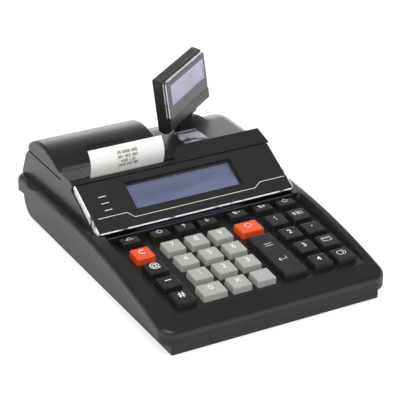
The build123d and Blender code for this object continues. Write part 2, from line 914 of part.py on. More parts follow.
# ---- lid and printer ----
knuckle_left_x = -housing_half_width + case_wall + running_gap
knuckle_right_x = bay_right_x - knuckle_length
barrel_left_x = knuckle_left_x + knuckle_length + running_gap
barrel_right_x = knuckle_right_x - running_gap
left_cheek_x = tongue_left_x + 2 * slide_gap
platen_left_x = left_cheek_x + cheek_thickness + running_gap
platen_right_x = paper_right_x + 4 * slide_gap
right_cheek_x = platen_right_x + running_gap
platen_gear_x = right_cheek_x + cheek_thickness + running_gap
platen_shaft_right_x = platen_gear_x + gear_width + shaft_end
frame_right_x = platen_shaft_right_x + 2 * running_gap
frame_left_x = tongue_left_x - running_gap - 2 * cheek_thickness


def lid_section(inset):
    """Side view of the lid's main part, open below at the skirt."""
    crest_z = lid_crest_z - inset
    front_radius = lid_front_radius - inset
    rear_radius = lid_rear_radius - inset
    front_y = lid_front_y + inset
    front_centre_z = lid_crest_z - lid_front_radius
    rear_centre_z = lid_crest_z - lid_rear_radius
    low_z = lid_skirt_z - (1 if inset else 0)
    arc_y = lid_front_arc_y + inset / 2

    def front_z(y):
        return front_centre_z + math.sqrt(front_radius ** 2 - (y - lid_crest_y) ** 2)

    rear_low_y = lid_crest_y + math.sqrt(rear_radius ** 2 - (low_z - rear_centre_z) ** 2)
    rear_mid_y = (lid_crest_y + rear_low_y) / 2
    rear_mid_z = rear_centre_z + math.sqrt(rear_radius ** 2 - (rear_mid_y - lid_crest_y) ** 2)
    mid_y = (arc_y + lid_crest_y) / 2
    brow = (arc_y, front_z(arc_y))
    crest = (lid_crest_y, crest_z)
    outline = Polyline(
        (rear_low_y, low_z), (front_y, low_z), (front_y, lid_front_z - inset), brow
    )
    outline += ThreePointArc(brow, (mid_y, front_z(mid_y)), crest)
    outline += ThreePointArc(crest, (rear_mid_y, rear_mid_z), (rear_low_y, low_z))
    section = Plane.YZ * make_face(outline)
    brow_corner = section.vertices().sort_by_distance((0, *brow))[0]
    return fillet(brow_corner, lid_brow_radius)


def paper_lid():
    width = lid_right_x - lid_left_x
    outer = Pos(X=lid_left_x) * extrude(lid_section(0), width, dir=(1, 0, 0))

    def top_side(edge):
        middle = edge @ 0.5
        at_side = min(abs(middle.X - lid_left_x), abs(middle.X - lid_right_x)) < 0.01
        return at_side and middle.Z > lid_skirt_z + 0.1 and middle.Y > lid_front_y + 0.1

    outer = fillet(outer.edges().filter_by(top_side), lid_edge_round)
    inner = Pos(X=lid_left_x + lid_wall) * extrude(
        lid_section(lid_wall), width - 2 * lid_wall, dir=(1, 0, 0)
    )
    lid = outer - inner
    tongue = yz_polygon(
        [
            (tongue_front_y, tongue_front_z),
            (tongue_front_y, tongue_front_z - lid_wall),
            (lid_front_y + lid_wall, lid_front_z - lid_wall),
            (lid_front_y + lid_wall, lid_front_z),
        ],
        tongue_left_x,
        tongue_right_x,
    )
    lid += tongue
    for x_min in (left_cheek_x, right_cheek_x):
        cheek = span_box(
            x_min, x_min + cheek_thickness, platen_y - cheek_reach, lid_front_y + lid_wall,
            platen_z - cheek_reach, tongue_front_z - lid_wall / 2,
        )
        cheek &= yz_polygon(
            [
                (platen_y - cheek_reach, platen_z - cheek_reach),
                (platen_y + cheek_reach, platen_z - cheek_reach),
                (lid_front_y + lid_wall, lid_skirt_z),
                (lid_front_y + lid_wall, beyond * 2),
                (platen_y - cheek_reach, beyond * 2),
            ],
            x_min,
            x_min + cheek_thickness,
        )
        lid += cheek
    lid -= x_cylinder(
        platen_shaft_radius + shaft_gap, tongue_left_x - 1, platen_gear_x, platen_y, platen_z
    )
    lid += x_cylinder(barrel_radius, barrel_left_x, barrel_right_x, hinge_y, hinge_z)
    knuckle_room_y = hinge_y - barrel_radius - running_gap
    for x_min, x_max in ((lid_left_x - 1, barrel_left_x), (barrel_right_x, lid_right_x + 1)):
        lid -= span_box(x_min, x_max, knuckle_room_y, half_depth, 0, beyond * 2)
    lid -= x_cylinder(
        hinge_pin_radius + shaft_gap, lid_left_x, lid_right_x, hinge_y, hinge_z
    )
    pull_tilt = math.degrees(math.asin((lid_crest_y - pull_y) / lid_front_radius))
    pull_z = lid_crest_z - circle_drop(lid_front_radius, lid_crest_y - pull_y)
    place = Pos((pull_left_x + pull_right_x) / 2, pull_y, pull_z) * Rot(X=pull_tilt)
    length = pull_right_x - pull_left_x
    backing = place * Pos(Z=-pull_depth - lid_wall / 2) * Box(
        length + 2 * lid_wall, pull_width + 2 * lid_wall, lid_wall
    )
    recess = place * Pos(Z=-pull_depth) * extrude(
        RectangleRounded(length, pull_width, pull_corner), 2 * pull_depth, taper=-pull_draft
    )
    return lid + backing - recess


def lid_hinge_pin():
    return x_cylinder(
        hinge_pin_radius, knuckle_left_x - running_gap, bay_right_x - running_gap, hinge_y, hinge_z
    )


def platen_roller():
    roller = x_cylinder(platen_radius, platen_left_x, platen_right_x, platen_y, platen_z)
    shaft = x_cylinder(
        platen_shaft_radius, left_cheek_x, platen_shaft_right_x, platen_y, platen_z
    )
    return roller + shaft


def spur_gear(teeth, x_min, z, bore, first_tooth):
    """Straight-flanked fine-pitch gear; first_tooth is the angle of one tooth."""
    pitch_radius = gear_module * teeth / 2
    tip_radius = pitch_radius + gear_addendum * gear_module
    root_radius = pitch_radius - gear_dedendum * gear_module
    half_pitch_angle = gear_tooth_share * math.pi / (2 * teeth)
    slant = math.tan(math.radians(gear_pressure_angle))
    tip_half = half_pitch_angle - slant * (tip_radius - pitch_radius) / pitch_radius
    root_half = half_pitch_angle + slant * (pitch_radius - root_radius) / pitch_radius
    points = []
    for index in range(teeth):
        middle = math.radians(first_tooth) + 2 * math.pi * index / teeth
        corners = ((-root_half, root_radius), (-tip_half, tip_radius),
                   (tip_half, tip_radius), (root_half, root_radius))
        for offset, radius in corners:
            angle = middle + offset
            points.append((platen_y + radius * math.cos(angle), z + radius * math.sin(angle)))
    blank = yz_polygon(points, x_min, x_min + gear_width)
    return blank - x_cylinder(bore, x_min - 1, x_min + gear_width + 1, platen_y, z)


def platen_gear():
    return spur_gear(platen_teeth, platen_gear_x, platen_z, platen_shaft_radius, -90)


def motor_gear():
    first_tooth = 90 + 180 / motor_teeth
    return spur_gear(motor_teeth, platen_gear_x, motor_z, motor_shaft_radius, first_tooth)


def printer_motor():
    face_x = frame_right_x + cheek_thickness
    can = x_cylinder(motor_radius, face_x, face_x + motor_length, platen_y, motor_z)
    shaft = x_cylinder(motor_shaft_radius - shaft_gap, platen_gear_x, face_x, platen_y, motor_z)
    return can + shaft


def printer_frame():
    """Two side plates on the case floor, tied by the head carrier and a foot bar."""
    front_y = slot_front_y - frame_lead
    rear_y = lid_front_y - case_wall - 2 * running_gap
    top_z = platen_z - frame_drop
    head_rear_y = paper_y - paper_thickness / 2 - running_gap - head_thickness
    plates = []
    for x_min in (frame_left_x, frame_right_x):
        plate = span_box(x_min, x_min + cheek_thickness, front_y, rear_y, tub_floor_z, top_z)
        plate &= yz_polygon(
            [
                (front_y, 0),
                (front_y, seat_height(front_y) - 2 * case_wall),
                (front_y + frame_bevel, seat_height(front_y) - 2 * case_wall),
                (platen_y, top_z),
                (rear_y, top_z),
                (rear_y, 0),
            ],
            x_min,
            x_min + cheek_thickness,
        )
        plates.append(plate)
    right_x = frame_right_x + cheek_thickness
    carrier_front_y = head_rear_y - carrier_thickness
    carrier = span_box(
        frame_left_x, right_x, carrier_front_y, head_rear_y, motor_z - carrier_drop,
        seat_height(carrier_front_y) - 2 * case_wall,
    )
    foot_bar = span_box(
        frame_left_x, right_x, rear_y - foot_bar_width, rear_y,
        tub_floor_z, tub_floor_z + foot_bar_thickness,
    )
    frame = plates[0] + plates[1] + carrier + foot_bar
    return frame - x_cylinder(
        motor_shaft_radius + 2 * running_gap, frame_right_x - 1, right_x + 1, platen_y, motor_z
    )


def print_head():
    face_y = paper_y - paper_thickness / 2 - running_gap
    return span_box(
        paper_left_x - head_margin, paper_right_x + head_margin,
        face_y - head_thickness, face_y, motor_z - head_below, platen_z + head_above,
    )


def paper_bucket():
    """Trough with end cheeks that the paper roll drops into."""
    outer_radius = trough_radius + trough_wall
    left_x = paper_left_x - trough_play - trough_wall
    right_x = paper_right_x + trough_play + trough_wall
    rim_z = roll_z + trough_rim
    block = span_box(
        left_x, right_x, roll_y - outer_radius, roll_y + outer_radius, tub_floor_z, rim_z
    )
    cavity = x_cylinder(
        trough_radius, left_x + trough_wall, right_x - trough_wall, roll_y, trough_z
    )
    cavity += span_box(
        left_x + trough_wall, right_x - trough_wall, roll_y - trough_radius,
        roll_y + trough_radius, trough_z, beyond,
    )
    under = span_box(
        left_x + trough_wall, right_x - trough_wall, roll_y - outer_radius - 1,
        roll_y + outer_radius + 1, tub_floor_z, rim_z,
    )
    under -= x_cylinder(outer_radius, left_x, right_x, roll_y, trough_z)
    under -= span_box(
        left_x, right_x, roll_y - outer_radius, roll_y + outer_radius, trough_z, beyond
    )
    return (block - cavity - under) & tub_block(case_wall)


def paper_roll():
    roll = x_cylinder(roll_radius, paper_left_x, paper_right_x, roll_y, roll_z)
    return roll - x_cylinder(roll_core_radius, paper_left_x, paper_right_x, roll_y, roll_z)


def receipt():
    """Paper from the roll's top, under the platen, up through the slot, curling back."""
    roll_orbit = roll_radius + paper_gap + paper_thickness / 2
    run = math.hypot(roll_y - platen_y, roll_z - platen_z)
    incline = math.atan2(roll_z - platen_z, roll_y - platen_y)
    incline += math.asin((roll_orbit + paper_orbit) / run)
    normal = (-math.sin(incline), math.cos(incline))
    leave_roll = (roll_y + roll_orbit * normal[0], roll_z + roll_orbit * normal[1])
    meet_platen = (platen_y - paper_orbit * normal[0], platen_z - paper_orbit * normal[1])
    half_turn = (incline - math.pi / 2 - math.pi) / 2
    around = (
        platen_y + paper_orbit * math.cos(half_turn),
        platen_z + paper_orbit * math.sin(half_turn),
    )
    nip = (paper_y, platen_z)
    above_head = (paper_y, platen_z + receipt_straight)
    slot_middle = (slot_front_y + receipt_slot_gap, tongue_front_z + receipt_slot_rise)
    low_curl = (slot_front_y - receipt_bow, slot_middle[1] + receipt_rise / 2)
    top = (slot_front_y + receipt_curl, slot_middle[1] + receipt_rise)
    path = Line(leave_roll, meet_platen)
    path += ThreePointArc(meet_platen, around, nip)
    path += Line(nip, above_head)
    path += Spline(above_head, slot_middle, low_curl, top, tangents=((0, 1), (0.75, 0.66)))
    band = Plane.YZ * trace(path, paper_thickness)
    return Pos(X=paper_left_x) * extrude(band, paper_right_x - paper_left_x, dir=(1, 0, 0))


# ---- customer display ----
def display_turret():
    """Swivel disc, snap-in neck, hub and the yoke that the head tilts on."""
    disc_low_z = deck_z - disc_thickness
    plate_low_z = disc_low_z - running_gap - case_wall
    snap_low_z = plate_low_z - running_gap - 2 * disc_thickness
    turret = z_cylinder(disc_radius, 0, 0, disc_low_z, deck_z)
    turret += z_cylinder(neck_radius, 0, 0, snap_low_z, disc_low_z)
    turret += z_cylinder(neck_radius + snap_reach, 0, 0, snap_low_z, plate_low_z - running_gap)
    turret -= z_cylinder(neck_radius - case_wall, 0, 0, snap_low_z, disc_low_z)
    hub = z_cylinder(hub_radius, 0, 0, deck_z, hub_top_z)
    turret += hub & span_box(-beyond, beyond, -yoke_radius, yoke_radius, deck_z, hub_top_z)
    turret += span_box(
        -yoke_half_width, yoke_half_width, -yoke_radius, yoke_radius,
        hub_top_z - yoke_radius / 2, tilt_axis_z,
    )
    turret += x_cylinder(yoke_radius, -yoke_half_width, yoke_half_width, 0, tilt_axis_z)
    pin_reach = yoke_half_width + ear_width
    turret += x_cylinder(ear_pin_radius, -pin_reach, pin_reach, 0, tilt_axis_z)
    return Pos(turret_x, turret_y) * Rot(Z=display_heading) * turret


def display_place():
    return (
        Pos(turret_x, turret_y, tilt_axis_z) * Rot(Z=display_heading) * Rot(X=-display_lean)
    )


def display_body():
    """Outer shape of the head, facing -Y, with its tilt axis on the X axis."""
    bezel = -display_front + lens_thickness
    step = lens_low - slide_gap
    half = display_width / 2
    outline = Polyline(
        (-display_front, 0),
        (-display_front, step),
        (bezel, step),
        (bezel, display_front_height),
        (display_rear, display_rear_height),
        (display_rear, 0),
        close=True,
    )
    body = yz_prism(outline, -half, half)
    front_view = Pos(Y=beyond / 2) * RectangleRounded(display_width, beyond, display_corner)
    front_view = Pos(Y=display_rear_height - beyond) * front_view
    body &= extrude(Plane.XZ * front_view, beyond, both=True)
    ends = [
        edge for edge in body.edges()
        if abs((edge % 0.5).X) > 0.9 and abs((edge @ 0.5).Z - step) > 0.01
    ]
    body = fillet([edge for edge in ends if (edge @ 0.5).Z > step], display_round)
    belly = yz_prism(
        Line((-display_front, 0), (display_rear, 0))
        + ThreePointArc(
            (display_rear, 0),
            ((display_rear - display_front) / 2, -display_belly),
            (-display_front, 0),
        ),
        -half, half,
    )
    inner = yoke_half_width + running_gap
    belly -= span_box(-inner, inner, -beyond, beyond, -beyond, beyond)
    return Pos(Z=display_clear) * (body + belly)


def display_case():
    low = display_clear
    bezel = -display_front + lens_thickness
    body = display_body()
    body -= span_box(
        display_lcd_left_x - slide_gap, display_lcd_right_x + slide_gap,
        bezel - 1, bezel + display_lcd_thickness,
        low + display_lcd_low - slide_gap, low + display_lcd_high + slide_gap,
    )
    depth = display_rear - bezel
    rise = display_rear_height - display_front_height
    slope = math.degrees(math.atan2(rise, depth))
    top = Pos(
        0, (bezel + display_rear) / 2, low + (display_front_height + display_rear_height) / 2
    ) * Rot(X=slope)
    rib_count = int((display_width / 2 - rib_margin) / rib_pitch)
    groove = Box(rib_pitch / 2, depth - 2 * display_round, 2 * rib_depth)
    for index in range(-rib_count, rib_count + 1):
        body -= top * Pos(X=index * rib_pitch) * groove
    for side in (-1, 1):
        inner_x = side * (yoke_half_width + running_gap)
        outer_x = side * (yoke_half_width + running_gap + ear_width)
        left, right = sorted((inner_x, outer_x))
        body += x_cylinder(ear_radius, left, right, 0, 0)
        body += span_box(left, right, -ear_radius, ear_radius, 0, low + 1)
        body -= x_cylinder(ear_pin_radius + shaft_gap, left, right, 0, 0)
    return display_place() * body


def display_lens():
    face = RectangleRounded(2 * lens_half_width, lens_high - lens_low, lens_corner)
    middle = Pos(Z=display_clear + (lens_high + lens_low) / 2)
    lens = middle * Pos(Y=-display_front + lens_thickness) * extrude(
        Plane.XZ * face, lens_thickness
    )
    return display_place() * lens


def display_lcd():
    low = display_clear
    bezel = -display_front + lens_thickness
    lcd = span_box(
        display_lcd_left_x, display_lcd_right_x, bezel, bezel + display_lcd_thickness,
        low + display_lcd_low, low + display_lcd_high,
    )
    return display_place() * lcd


# ---- underside and inside ----
def rubber_feet():
    feet = [
        z_cylinder(foot_radius, x, y, 0, foot_reach + foot_recess) for x, y in foot_places()
    ]
    return Compound(children=feet)


def case_screws():
    screws = []
    for x, y in case_screw_places():
        head_top_z = foot_reach + screw_recess
        screw = z_cylinder(screw_radius, x, y, head_top_z, head_top_z + screw_length)
        screw += z_cylinder(screw_head_radius, x, y, head_top_z - screw_head_height, head_top_z)
        screws.append(screw)
    return Compound(children=screws)


def battery_door():
    half = door_size / 2
    return span_box(
        battery_x - half, battery_x + half, battery_y - half, battery_y + half,
        foot_reach, foot_reach + door_thickness,
    )


def battery_pack():
    half = battery_size / 2
    low_z = foot_reach + door_thickness
    pack = span_box(
        battery_x - half, battery_x + half, battery_y - half, battery_y + half,
        low_z, low_z + battery_height,
    )
    return fillet(pack.edges().filter_by(Axis.Z), battery_corner)


def main_board():
    board = span_box(
        main_board_left_x, main_board_right_x, main_board_front_y, main_board_rear_y,
        main_board_z, main_board_z + board_thickness,
    )
    for x, y in board_posts():
        board -= z_cylinder(
            stake_pin_radius + slide_gap, x, y, main_board_z - 1, main_board_z + 3
        )
    return board


sockets = [(power_x, power_width), (usb_x, usb_width), (drawer_x, drawer_width)]


def rear_sockets():
    """Power inlet, USB socket and cash-drawer socket on the main board."""
    low_z = main_board_z + board_thickness
    high_z = low_z + socket_height
    parts = []
    for x, width in sockets:
        body = span_box(
            x - width / 2, x + width / 2, socket_rear_y - socket_depth, socket_rear_y,
            low_z, high_z,
        )
        if x == power_x:
            bore = (socket_height - 2 * socket_wall) / 2
            cavity_depth = socket_depth - socket_back
            barrel = Cylinder(
                bore, cavity_depth, align=(Align.CENTER, Align.CENTER, Align.MIN)
            )
            centre_z = (low_z + high_z) / 2
            body -= Pos(x, socket_rear_y, centre_z) * Rot(X=90) * barrel
            pin = Cylinder(
                inlet_pin_radius, cavity_depth - inlet_pin_recess / 2,
                align=(Align.CENTER, Align.CENTER, Align.MIN),
            )
            body += Pos(x, socket_rear_y - inlet_pin_recess, centre_z) * Rot(X=90) * pin
        else:
            body -= span_box(
                x - width / 2 + socket_wall, x + width / 2 - socket_wall,
                socket_rear_y - socket_depth + socket_back, socket_rear_y + 1,
                low_z + socket_wall, high_z - socket_wall,
            )
        parts.append(body)
    return Compound(children=parts)


nodes = {
    "lower_tub": lower_tub,
    "upper_shell": upper_shell,
    "rubber_feet": rubber_feet,
    "case_screws": case_screws,
    "battery_door": battery_door,
    "battery_pack": battery_pack,
    "main_board": main_board,
    "rear_sockets": rear_sockets,
    "keypad_board": keypad_board,
    "key_mat": key_mat,
    "window_plate": window_plate,
    "operator_lcd": operator_lcd,
    "paper_lid": paper_lid,
    "lid_hinge_pin": lid_hinge_pin,
    "platen_roller": platen_roller,
    "platen_gear": platen_gear,
    "motor_gear": motor_gear,
    "printer_motor": printer_motor,
    "printer_frame": printer_frame,
    "print_head": print_head,
    "paper_bucket": paper_bucket,
    "paper_roll": paper_roll,
    "receipt": receipt,
    "display_turret": display_turret,
    "display_case": display_case,
    "display_lens": display_lens,
    "display_lcd": display_lcd,
}


def main():
    os.makedirs("parts", exist_ok=True)
    for node, build in nodes.items():
        export_step(build(), f"parts/{node}.step")
    for spec in keys:
        export_step(key_cap(spec), f"parts/{spec['name']}.step")


if __name__ == "__main__":
    main()
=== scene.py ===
import math

import bpy
from mathutils import Matrix, Vector


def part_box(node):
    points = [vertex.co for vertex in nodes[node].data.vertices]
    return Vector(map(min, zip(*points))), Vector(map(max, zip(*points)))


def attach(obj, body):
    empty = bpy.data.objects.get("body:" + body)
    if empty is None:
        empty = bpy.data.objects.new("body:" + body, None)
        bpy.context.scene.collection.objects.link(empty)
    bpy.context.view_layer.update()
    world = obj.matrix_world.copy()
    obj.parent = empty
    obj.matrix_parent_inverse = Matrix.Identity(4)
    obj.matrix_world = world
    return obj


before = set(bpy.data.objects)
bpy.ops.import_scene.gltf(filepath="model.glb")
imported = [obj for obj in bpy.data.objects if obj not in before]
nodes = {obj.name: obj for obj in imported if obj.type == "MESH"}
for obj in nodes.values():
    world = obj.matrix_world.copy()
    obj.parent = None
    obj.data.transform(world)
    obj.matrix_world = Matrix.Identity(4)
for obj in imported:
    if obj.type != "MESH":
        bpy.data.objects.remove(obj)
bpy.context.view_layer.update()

mm = 0.001


def deselectAll():
    if bpy.context.object and bpy.context.object.mode != "OBJECT":
        bpy.ops.object.mode_set(mode="OBJECT")
    bpy.ops.object.select_all(action="DESELECT")


def makeActive(piece):
    deselectAll()
    piece.select_set(True)
    bpy.context.view_layer.objects.active = piece


def dress(piece, material):
    piece.data.materials.clear()
    piece.data.materials.append(material)


def settle(piece, material, body):
    # puts the place into the mesh, then hands the piece to its body
    makeActive(piece)
    bpy.ops.object.transform_apply(location=True, rotation=True, scale=True)
    dress(piece, material)
    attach(piece, body)
    return piece


def toLinear(hexColour):
    channels = [int(hexColour[start:start + 2], 16) / 255 for start in (1, 3, 5)]
    linear = [c / 12.92 if c <= 0.04045 else ((c + 0.055) / 1.055) ** 2.4 for c in channels]
    return (*linear, 1.0)


def addNode(tree, kind, settings=None, links=None):
    # a setting is a socket's value or the node's own property; a number picks a socket by its place
    node = tree.nodes.new(kind)
    for name, value in (settings or {}).items():
        if isinstance(name, int) or name in node.inputs:
            node.inputs[name].default_value = value
        else:
            setattr(node, name, value)
    for name, source in (links or {}).items():
        tree.links.new(source, node.inputs[name])
    return node


def newMaterial(name):
    material = bpy.data.materials.new(name)
    material.use_nodes = True
    tree = material.node_tree
    tree.nodes.clear()
    output = addNode(tree, "ShaderNodeOutputMaterial")
    place = addNode(tree, "ShaderNodeTexCoord").outputs["Object"]
    return material, tree, output, place


def grainedPlastic(name, look):
    # moulded plastic: even colour, a fine spark-eroded grain that breaks the shine up,
    # and a slow change of gloss where hands and cloths have been
    material, tree, output, place = newMaterial(name)
    slow = addNode(tree, "ShaderNodeTexNoise", {"Scale": 1 / (look["patch"] * mm), "Detail": 3.0},
                   {"Vector": place})
    fine = addNode(tree, "ShaderNodeTexNoise", {"Scale": 1 / (look["grain"] * mm), "Detail": 2.0},
                   {"Vector": place})
    colour = addNode(tree, "ShaderNodeMix",
                     {"data_type": "RGBA", 6: toLinear(look["colour"]), 7: toLinear(look["worn"])},
                     {0: slow.outputs["Fac"]})
    gloss = addNode(tree, "ShaderNodeMapRange", {"To Min": look["rough"][0], "To Max": look["rough"][1]},
                    {"Value": slow.outputs["Fac"]})
    bump = addNode(tree, "ShaderNodeBump", {"Strength": look["bump"], "Distance": look["relief"] * mm},
                   {"Height": fine.outputs["Fac"]})
    if "edge" in look:  # the tool's edges are never sharp, so they catch a thin highlight
        softEdge = addNode(tree, "ShaderNodeBevel", {"samples": 4, "Radius": look["edge"] * mm})
        tree.links.new(softEdge.outputs[0], bump.inputs["Normal"])
    shader = addNode(tree, "ShaderNodeBsdfPrincipled", {"IOR": look.get("ior", 1.5)},
                     {"Base Color": colour.outputs[2], "Roughness": gloss.outputs[0],
                      "Normal": bump.outputs[0]})
    tree.links.new(shader.outputs[0], output.inputs["Surface"])
    return material


def drawnMetal(name, look):
    # sheet or turned metal: fine lines along one axis that stretch the highlights
    material, tree, output, place = newMaterial(name)
    stretched = addNode(tree, "ShaderNodeMapping", {"Scale": look["lines"]}, {"Vector": place})
    lines = addNode(tree, "ShaderNodeTexNoise", {"Scale": 1 / (look["grain"] * mm), "Detail": 2.0},
                    {"Vector": stretched.outputs[0]})
    gloss = addNode(tree, "ShaderNodeMapRange", {"To Min": look["rough"][0], "To Max": look["rough"][1]},
                    {"Value": lines.outputs["Fac"]})
    bump = addNode(tree, "ShaderNodeBump", {"Strength": look["bump"], "Distance": look["relief"] * mm},
                   {"Height": lines.outputs["Fac"]})
    colour = addNode(tree, "ShaderNodeMix",
                     {"data_type": "RGBA", 6: toLinear(look["colour"]), 7: toLinear(look["worn"])},
                     {0: lines.outputs["Fac"]})
    shader = addNode(tree, "ShaderNodeBsdfPrincipled", {"Metallic": 1.0},
                     {"Base Color": colour.outputs[2], "Roughness": gloss.outputs[0],
                      "Normal": bump.outputs[0]})
    tree.links.new(shader.outputs[0], output.inputs["Surface"])
    return material


def turnedPlace(tree, place, look):
    # the pattern's own axes, centred and turned on its piece
    turned = addNode(tree, "ShaderNodeMapping",
                     {"vector_type": "TEXTURE", "Location": look["place"], "Rotation": look["turn"]},
                     {"Vector": place})
    return addNode(tree, "ShaderNodeSeparateXYZ", {}, {0: turned.outputs[0]})


def clearAcrylic(name, look):
    # cast acrylic: clear through the face; its sawn and polished edges get a painted white highlight, broken
    # into streaks by noise
    material, tree, output, place = newMaterial(name)
    axes = turnedPlace(tree, place, look)
    across = addNode(tree, "ShaderNodeMath", {"operation": "ABSOLUTE"}, {0: axes.outputs["X"]})
    atSide = addNode(tree, "ShaderNodeMath", {"operation": "GREATER_THAN", 1: look["half"] * mm},
                     {0: across.outputs[0]})
    atFoot = addNode(tree, "ShaderNodeMath", {"operation": "LESS_THAN", 1: look["foot"] * mm},
                     {0: axes.outputs["Y"]})
    atLip = addNode(tree, "ShaderNodeMath", {"operation": "GREATER_THAN", 1: -look["lip"] * mm},
                    {0: axes.outputs["Z"]})
    footLip = addNode(tree, "ShaderNodeMath", {"operation": "MULTIPLY"},
                      {0: atFoot.outputs[0], 1: atLip.outputs[0]})
    fromCore = addNode(tree, "ShaderNodeMath", {"operation": "ADD", 1: -look["core"] * mm},
                       {0: axes.outputs["Y"]})
    depth = addNode(tree, "ShaderNodeMath", {"operation": "ABSOLUTE"}, {0: fromCore.outputs[0]})
    offCore = addNode(tree, "ShaderNodeMath", {"operation": "GREATER_THAN", 1: look["coreHalf"] * mm},
                      {0: depth.outputs[0]})
    sideLines = addNode(tree, "ShaderNodeMath", {"operation": "MULTIPLY"},
                        {0: atSide.outputs[0], 1: offCore.outputs[0]})
    atEdge = addNode(tree, "ShaderNodeMath", {"operation": "MAXIMUM"},
                     {0: sideLines.outputs[0], 1: footLip.outputs[0]})
    # noise breaks the painted edge highlight into streaks
    glintBreakup = addNode(tree, "ShaderNodeTexNoise", {"Scale": 1 / (look["glintBreakup"] * mm), "Detail": 2.0},
                    {"Vector": place})
    streak = addNode(tree, "ShaderNodeMapRange",
                     {"From Min": 0.36, "From Max": 0.46, "To Min": 0.15, "To Max": 1.0},
                     {"Value": glintBreakup.outputs["Fac"]})
    white = addNode(tree, "ShaderNodeMath", {"operation": "MULTIPLY", 1: look["edge"]},
                    {0: streak.outputs[0]})
    share = addNode(tree, "ShaderNodeMath", {"operation": "MULTIPLY"},
                    {0: atEdge.outputs[0], 1: white.outputs[0]})
    clear = addNode(tree, "ShaderNodeBsdfPrincipled",
                    {"Base Color": toLinear(look["colour"]), "IOR": 1.49,
                     "Transmission Weight": 1.0, "Roughness": 0.0})
    # this bright white shader is the painted highlight on the edges
    bright = addNode(tree, "ShaderNodeBsdfPrincipled",
                     {"Base Color": toLinear(look["edgeHighlightColour"]), "Roughness": 0.2})
    mix = addNode(tree, "ShaderNodeMixShader", {},
                  {0: share.outputs[0], 1: clear.outputs[0], 2: bright.outputs[0]})
    tree.links.new(mix.outputs[0], output.inputs["Surface"])
    return material


def displayCell(name, look):
    # liquid crystal cell: a tinted, faintly lit field inside a darker border, behind glass
    material, tree, output, place = newMaterial(name)
    axes = turnedPlace(tree, place, look)
    across = addNode(tree, "ShaderNodeMath", {"operation": "ABSOLUTE"}, {0: axes.outputs["X"]})
    up = addNode(tree, "ShaderNodeMath", {"operation": "ABSOLUTE"}, {0: axes.outputs[look["up"]]})
    insideX = addNode(tree, "ShaderNodeMath", {"operation": "LESS_THAN", 1: look["half"][0] * mm},
                      {0: across.outputs[0]})
    insideY = addNode(tree, "ShaderNodeMath", {"operation": "LESS_THAN", 1: look["half"][1] * mm},
                      {0: up.outputs[0]})
    inside = addNode(tree, "ShaderNodeMath", {"operation": "MULTIPLY"},
                     {0: insideX.outputs[0], 1: insideY.outputs[0]})
    cloud = addNode(tree, "ShaderNodeTexNoise", {"Scale": 1 / (look["cloud"] * mm), "Detail": 1.0},
                    {"Vector": place})
    field = addNode(tree, "ShaderNodeMix",
                    {"data_type": "RGBA", 6: toLinear(look["field"]), 7: toLinear(look["deep"])},
                    {0: cloud.outputs["Fac"]})
    colour = addNode(tree, "ShaderNodeMix", {"data_type": "RGBA", 6: toLinear(look["border"])},
                     {0: inside.outputs[0], 7: field.outputs[2]})
    shader = addNode(tree, "ShaderNodeBsdfPrincipled",
                     {"Roughness": look["rough"], "IOR": 1.5, "Emission Strength": look["glow"]},
                     {"Base Color": colour.outputs[2], "Emission Color": colour.outputs[2]})
    tree.links.new(shader.outputs[0], output.inputs["Surface"])
    return material


def circuitLaminate(name, look):
    # glass-epoxy board under green solder mask; the copper runs show as paler lines, the pads as tin
    material, tree, output, place = newMaterial(name)
    tracks = addNode(tree, "ShaderNodeTexBrick",
                     {"Scale": 1 / (look["track"] * mm), "Mortar Size": 0.03,
                      "Color1": toLinear(look["mask"]), "Color2": toLinear(look["maskShade"]),
                      "Mortar": toLinear(look["copper"])}, {"Vector": place})
    pads = addNode(tree, "ShaderNodeTexVoronoi", {"Scale": 1 / (look["pad"] * mm)}, {"Vector": place})
    isPad = addNode(tree, "ShaderNodeMath", {"operation": "LESS_THAN", 1: look["padShare"]},
                    {0: pads.outputs["Distance"]})
    colour = addNode(tree, "ShaderNodeMix", {"data_type": "RGBA", 7: toLinear(look["tin"])},
                     {0: isPad.outputs[0], 6: tracks.outputs["Color"]})
    shader = addNode(tree, "ShaderNodeBsdfPrincipled", {"Roughness": 0.28},
                     {"Base Color": colour.outputs[2]})
    tree.links.new(shader.outputs[0], output.inputs["Surface"])
    return material


def thermalPaper(name, look):
    # coated thermal paper: white, nearly smooth, with a little fibre
    material, tree, output, place = newMaterial(name)
    fibre = addNode(tree, "ShaderNodeTexNoise", {"Scale": 1 / (look["fibre"] * mm), "Detail": 5.0},
                    {"Vector": place})
    colour = addNode(tree, "ShaderNodeMix",
                     {"data_type": "RGBA", 6: toLinear(look["colour"]), 7: toLinear(look["worn"])},
                     {0: fibre.outputs["Fac"]})
    bump = addNode(tree, "ShaderNodeBump", {"Strength": 0.1, "Distance": look["relief"] * mm},
                   {"Height": fibre.outputs["Fac"]})
    shader = addNode(tree, "ShaderNodeBsdfPrincipled", {"Roughness": 0.6, "IOR": 1.45},
                     {"Base Color": colour.outputs[2], "Normal": bump.outputs[0]})
    tree.links.new(shader.outputs[0], output.inputs["Surface"])
    return material


def sealFoil(name, look):
    # embossed security foil: silver with crossing waves; the light and dark they pick up are painted into
    # its colour as painted reflection
    material, tree, output, place = newMaterial(name)
    waves = addNode(tree, "ShaderNodeTexWave",
                    {"wave_type": "RINGS", "Scale": 1 / (look["wave"] * mm), "Distortion": 9.0,
                     "Detail": 2.0, "Detail Scale": 1.4}, {"Vector": place})
    colour = addNode(tree, "ShaderNodeMix",
                     {"data_type": "RGBA", 6: toLinear(look["dark"]), 7: toLinear(look["bright"])},
                     {0: waves.outputs["Fac"]})
    bump = addNode(tree, "ShaderNodeBump", {"Strength": 0.3, "Distance": look["relief"] * mm},
                   {"Height": waves.outputs["Fac"]})
    shader = addNode(tree, "ShaderNodeBsdfPrincipled", {"Metallic": 0.55, "Roughness": 0.3},
                     {"Base Color": colour.outputs[2], "Normal": bump.outputs[0]})
    tree.links.new(shader.outputs[0], output.inputs["Surface"])
    return material


print("register: materials")
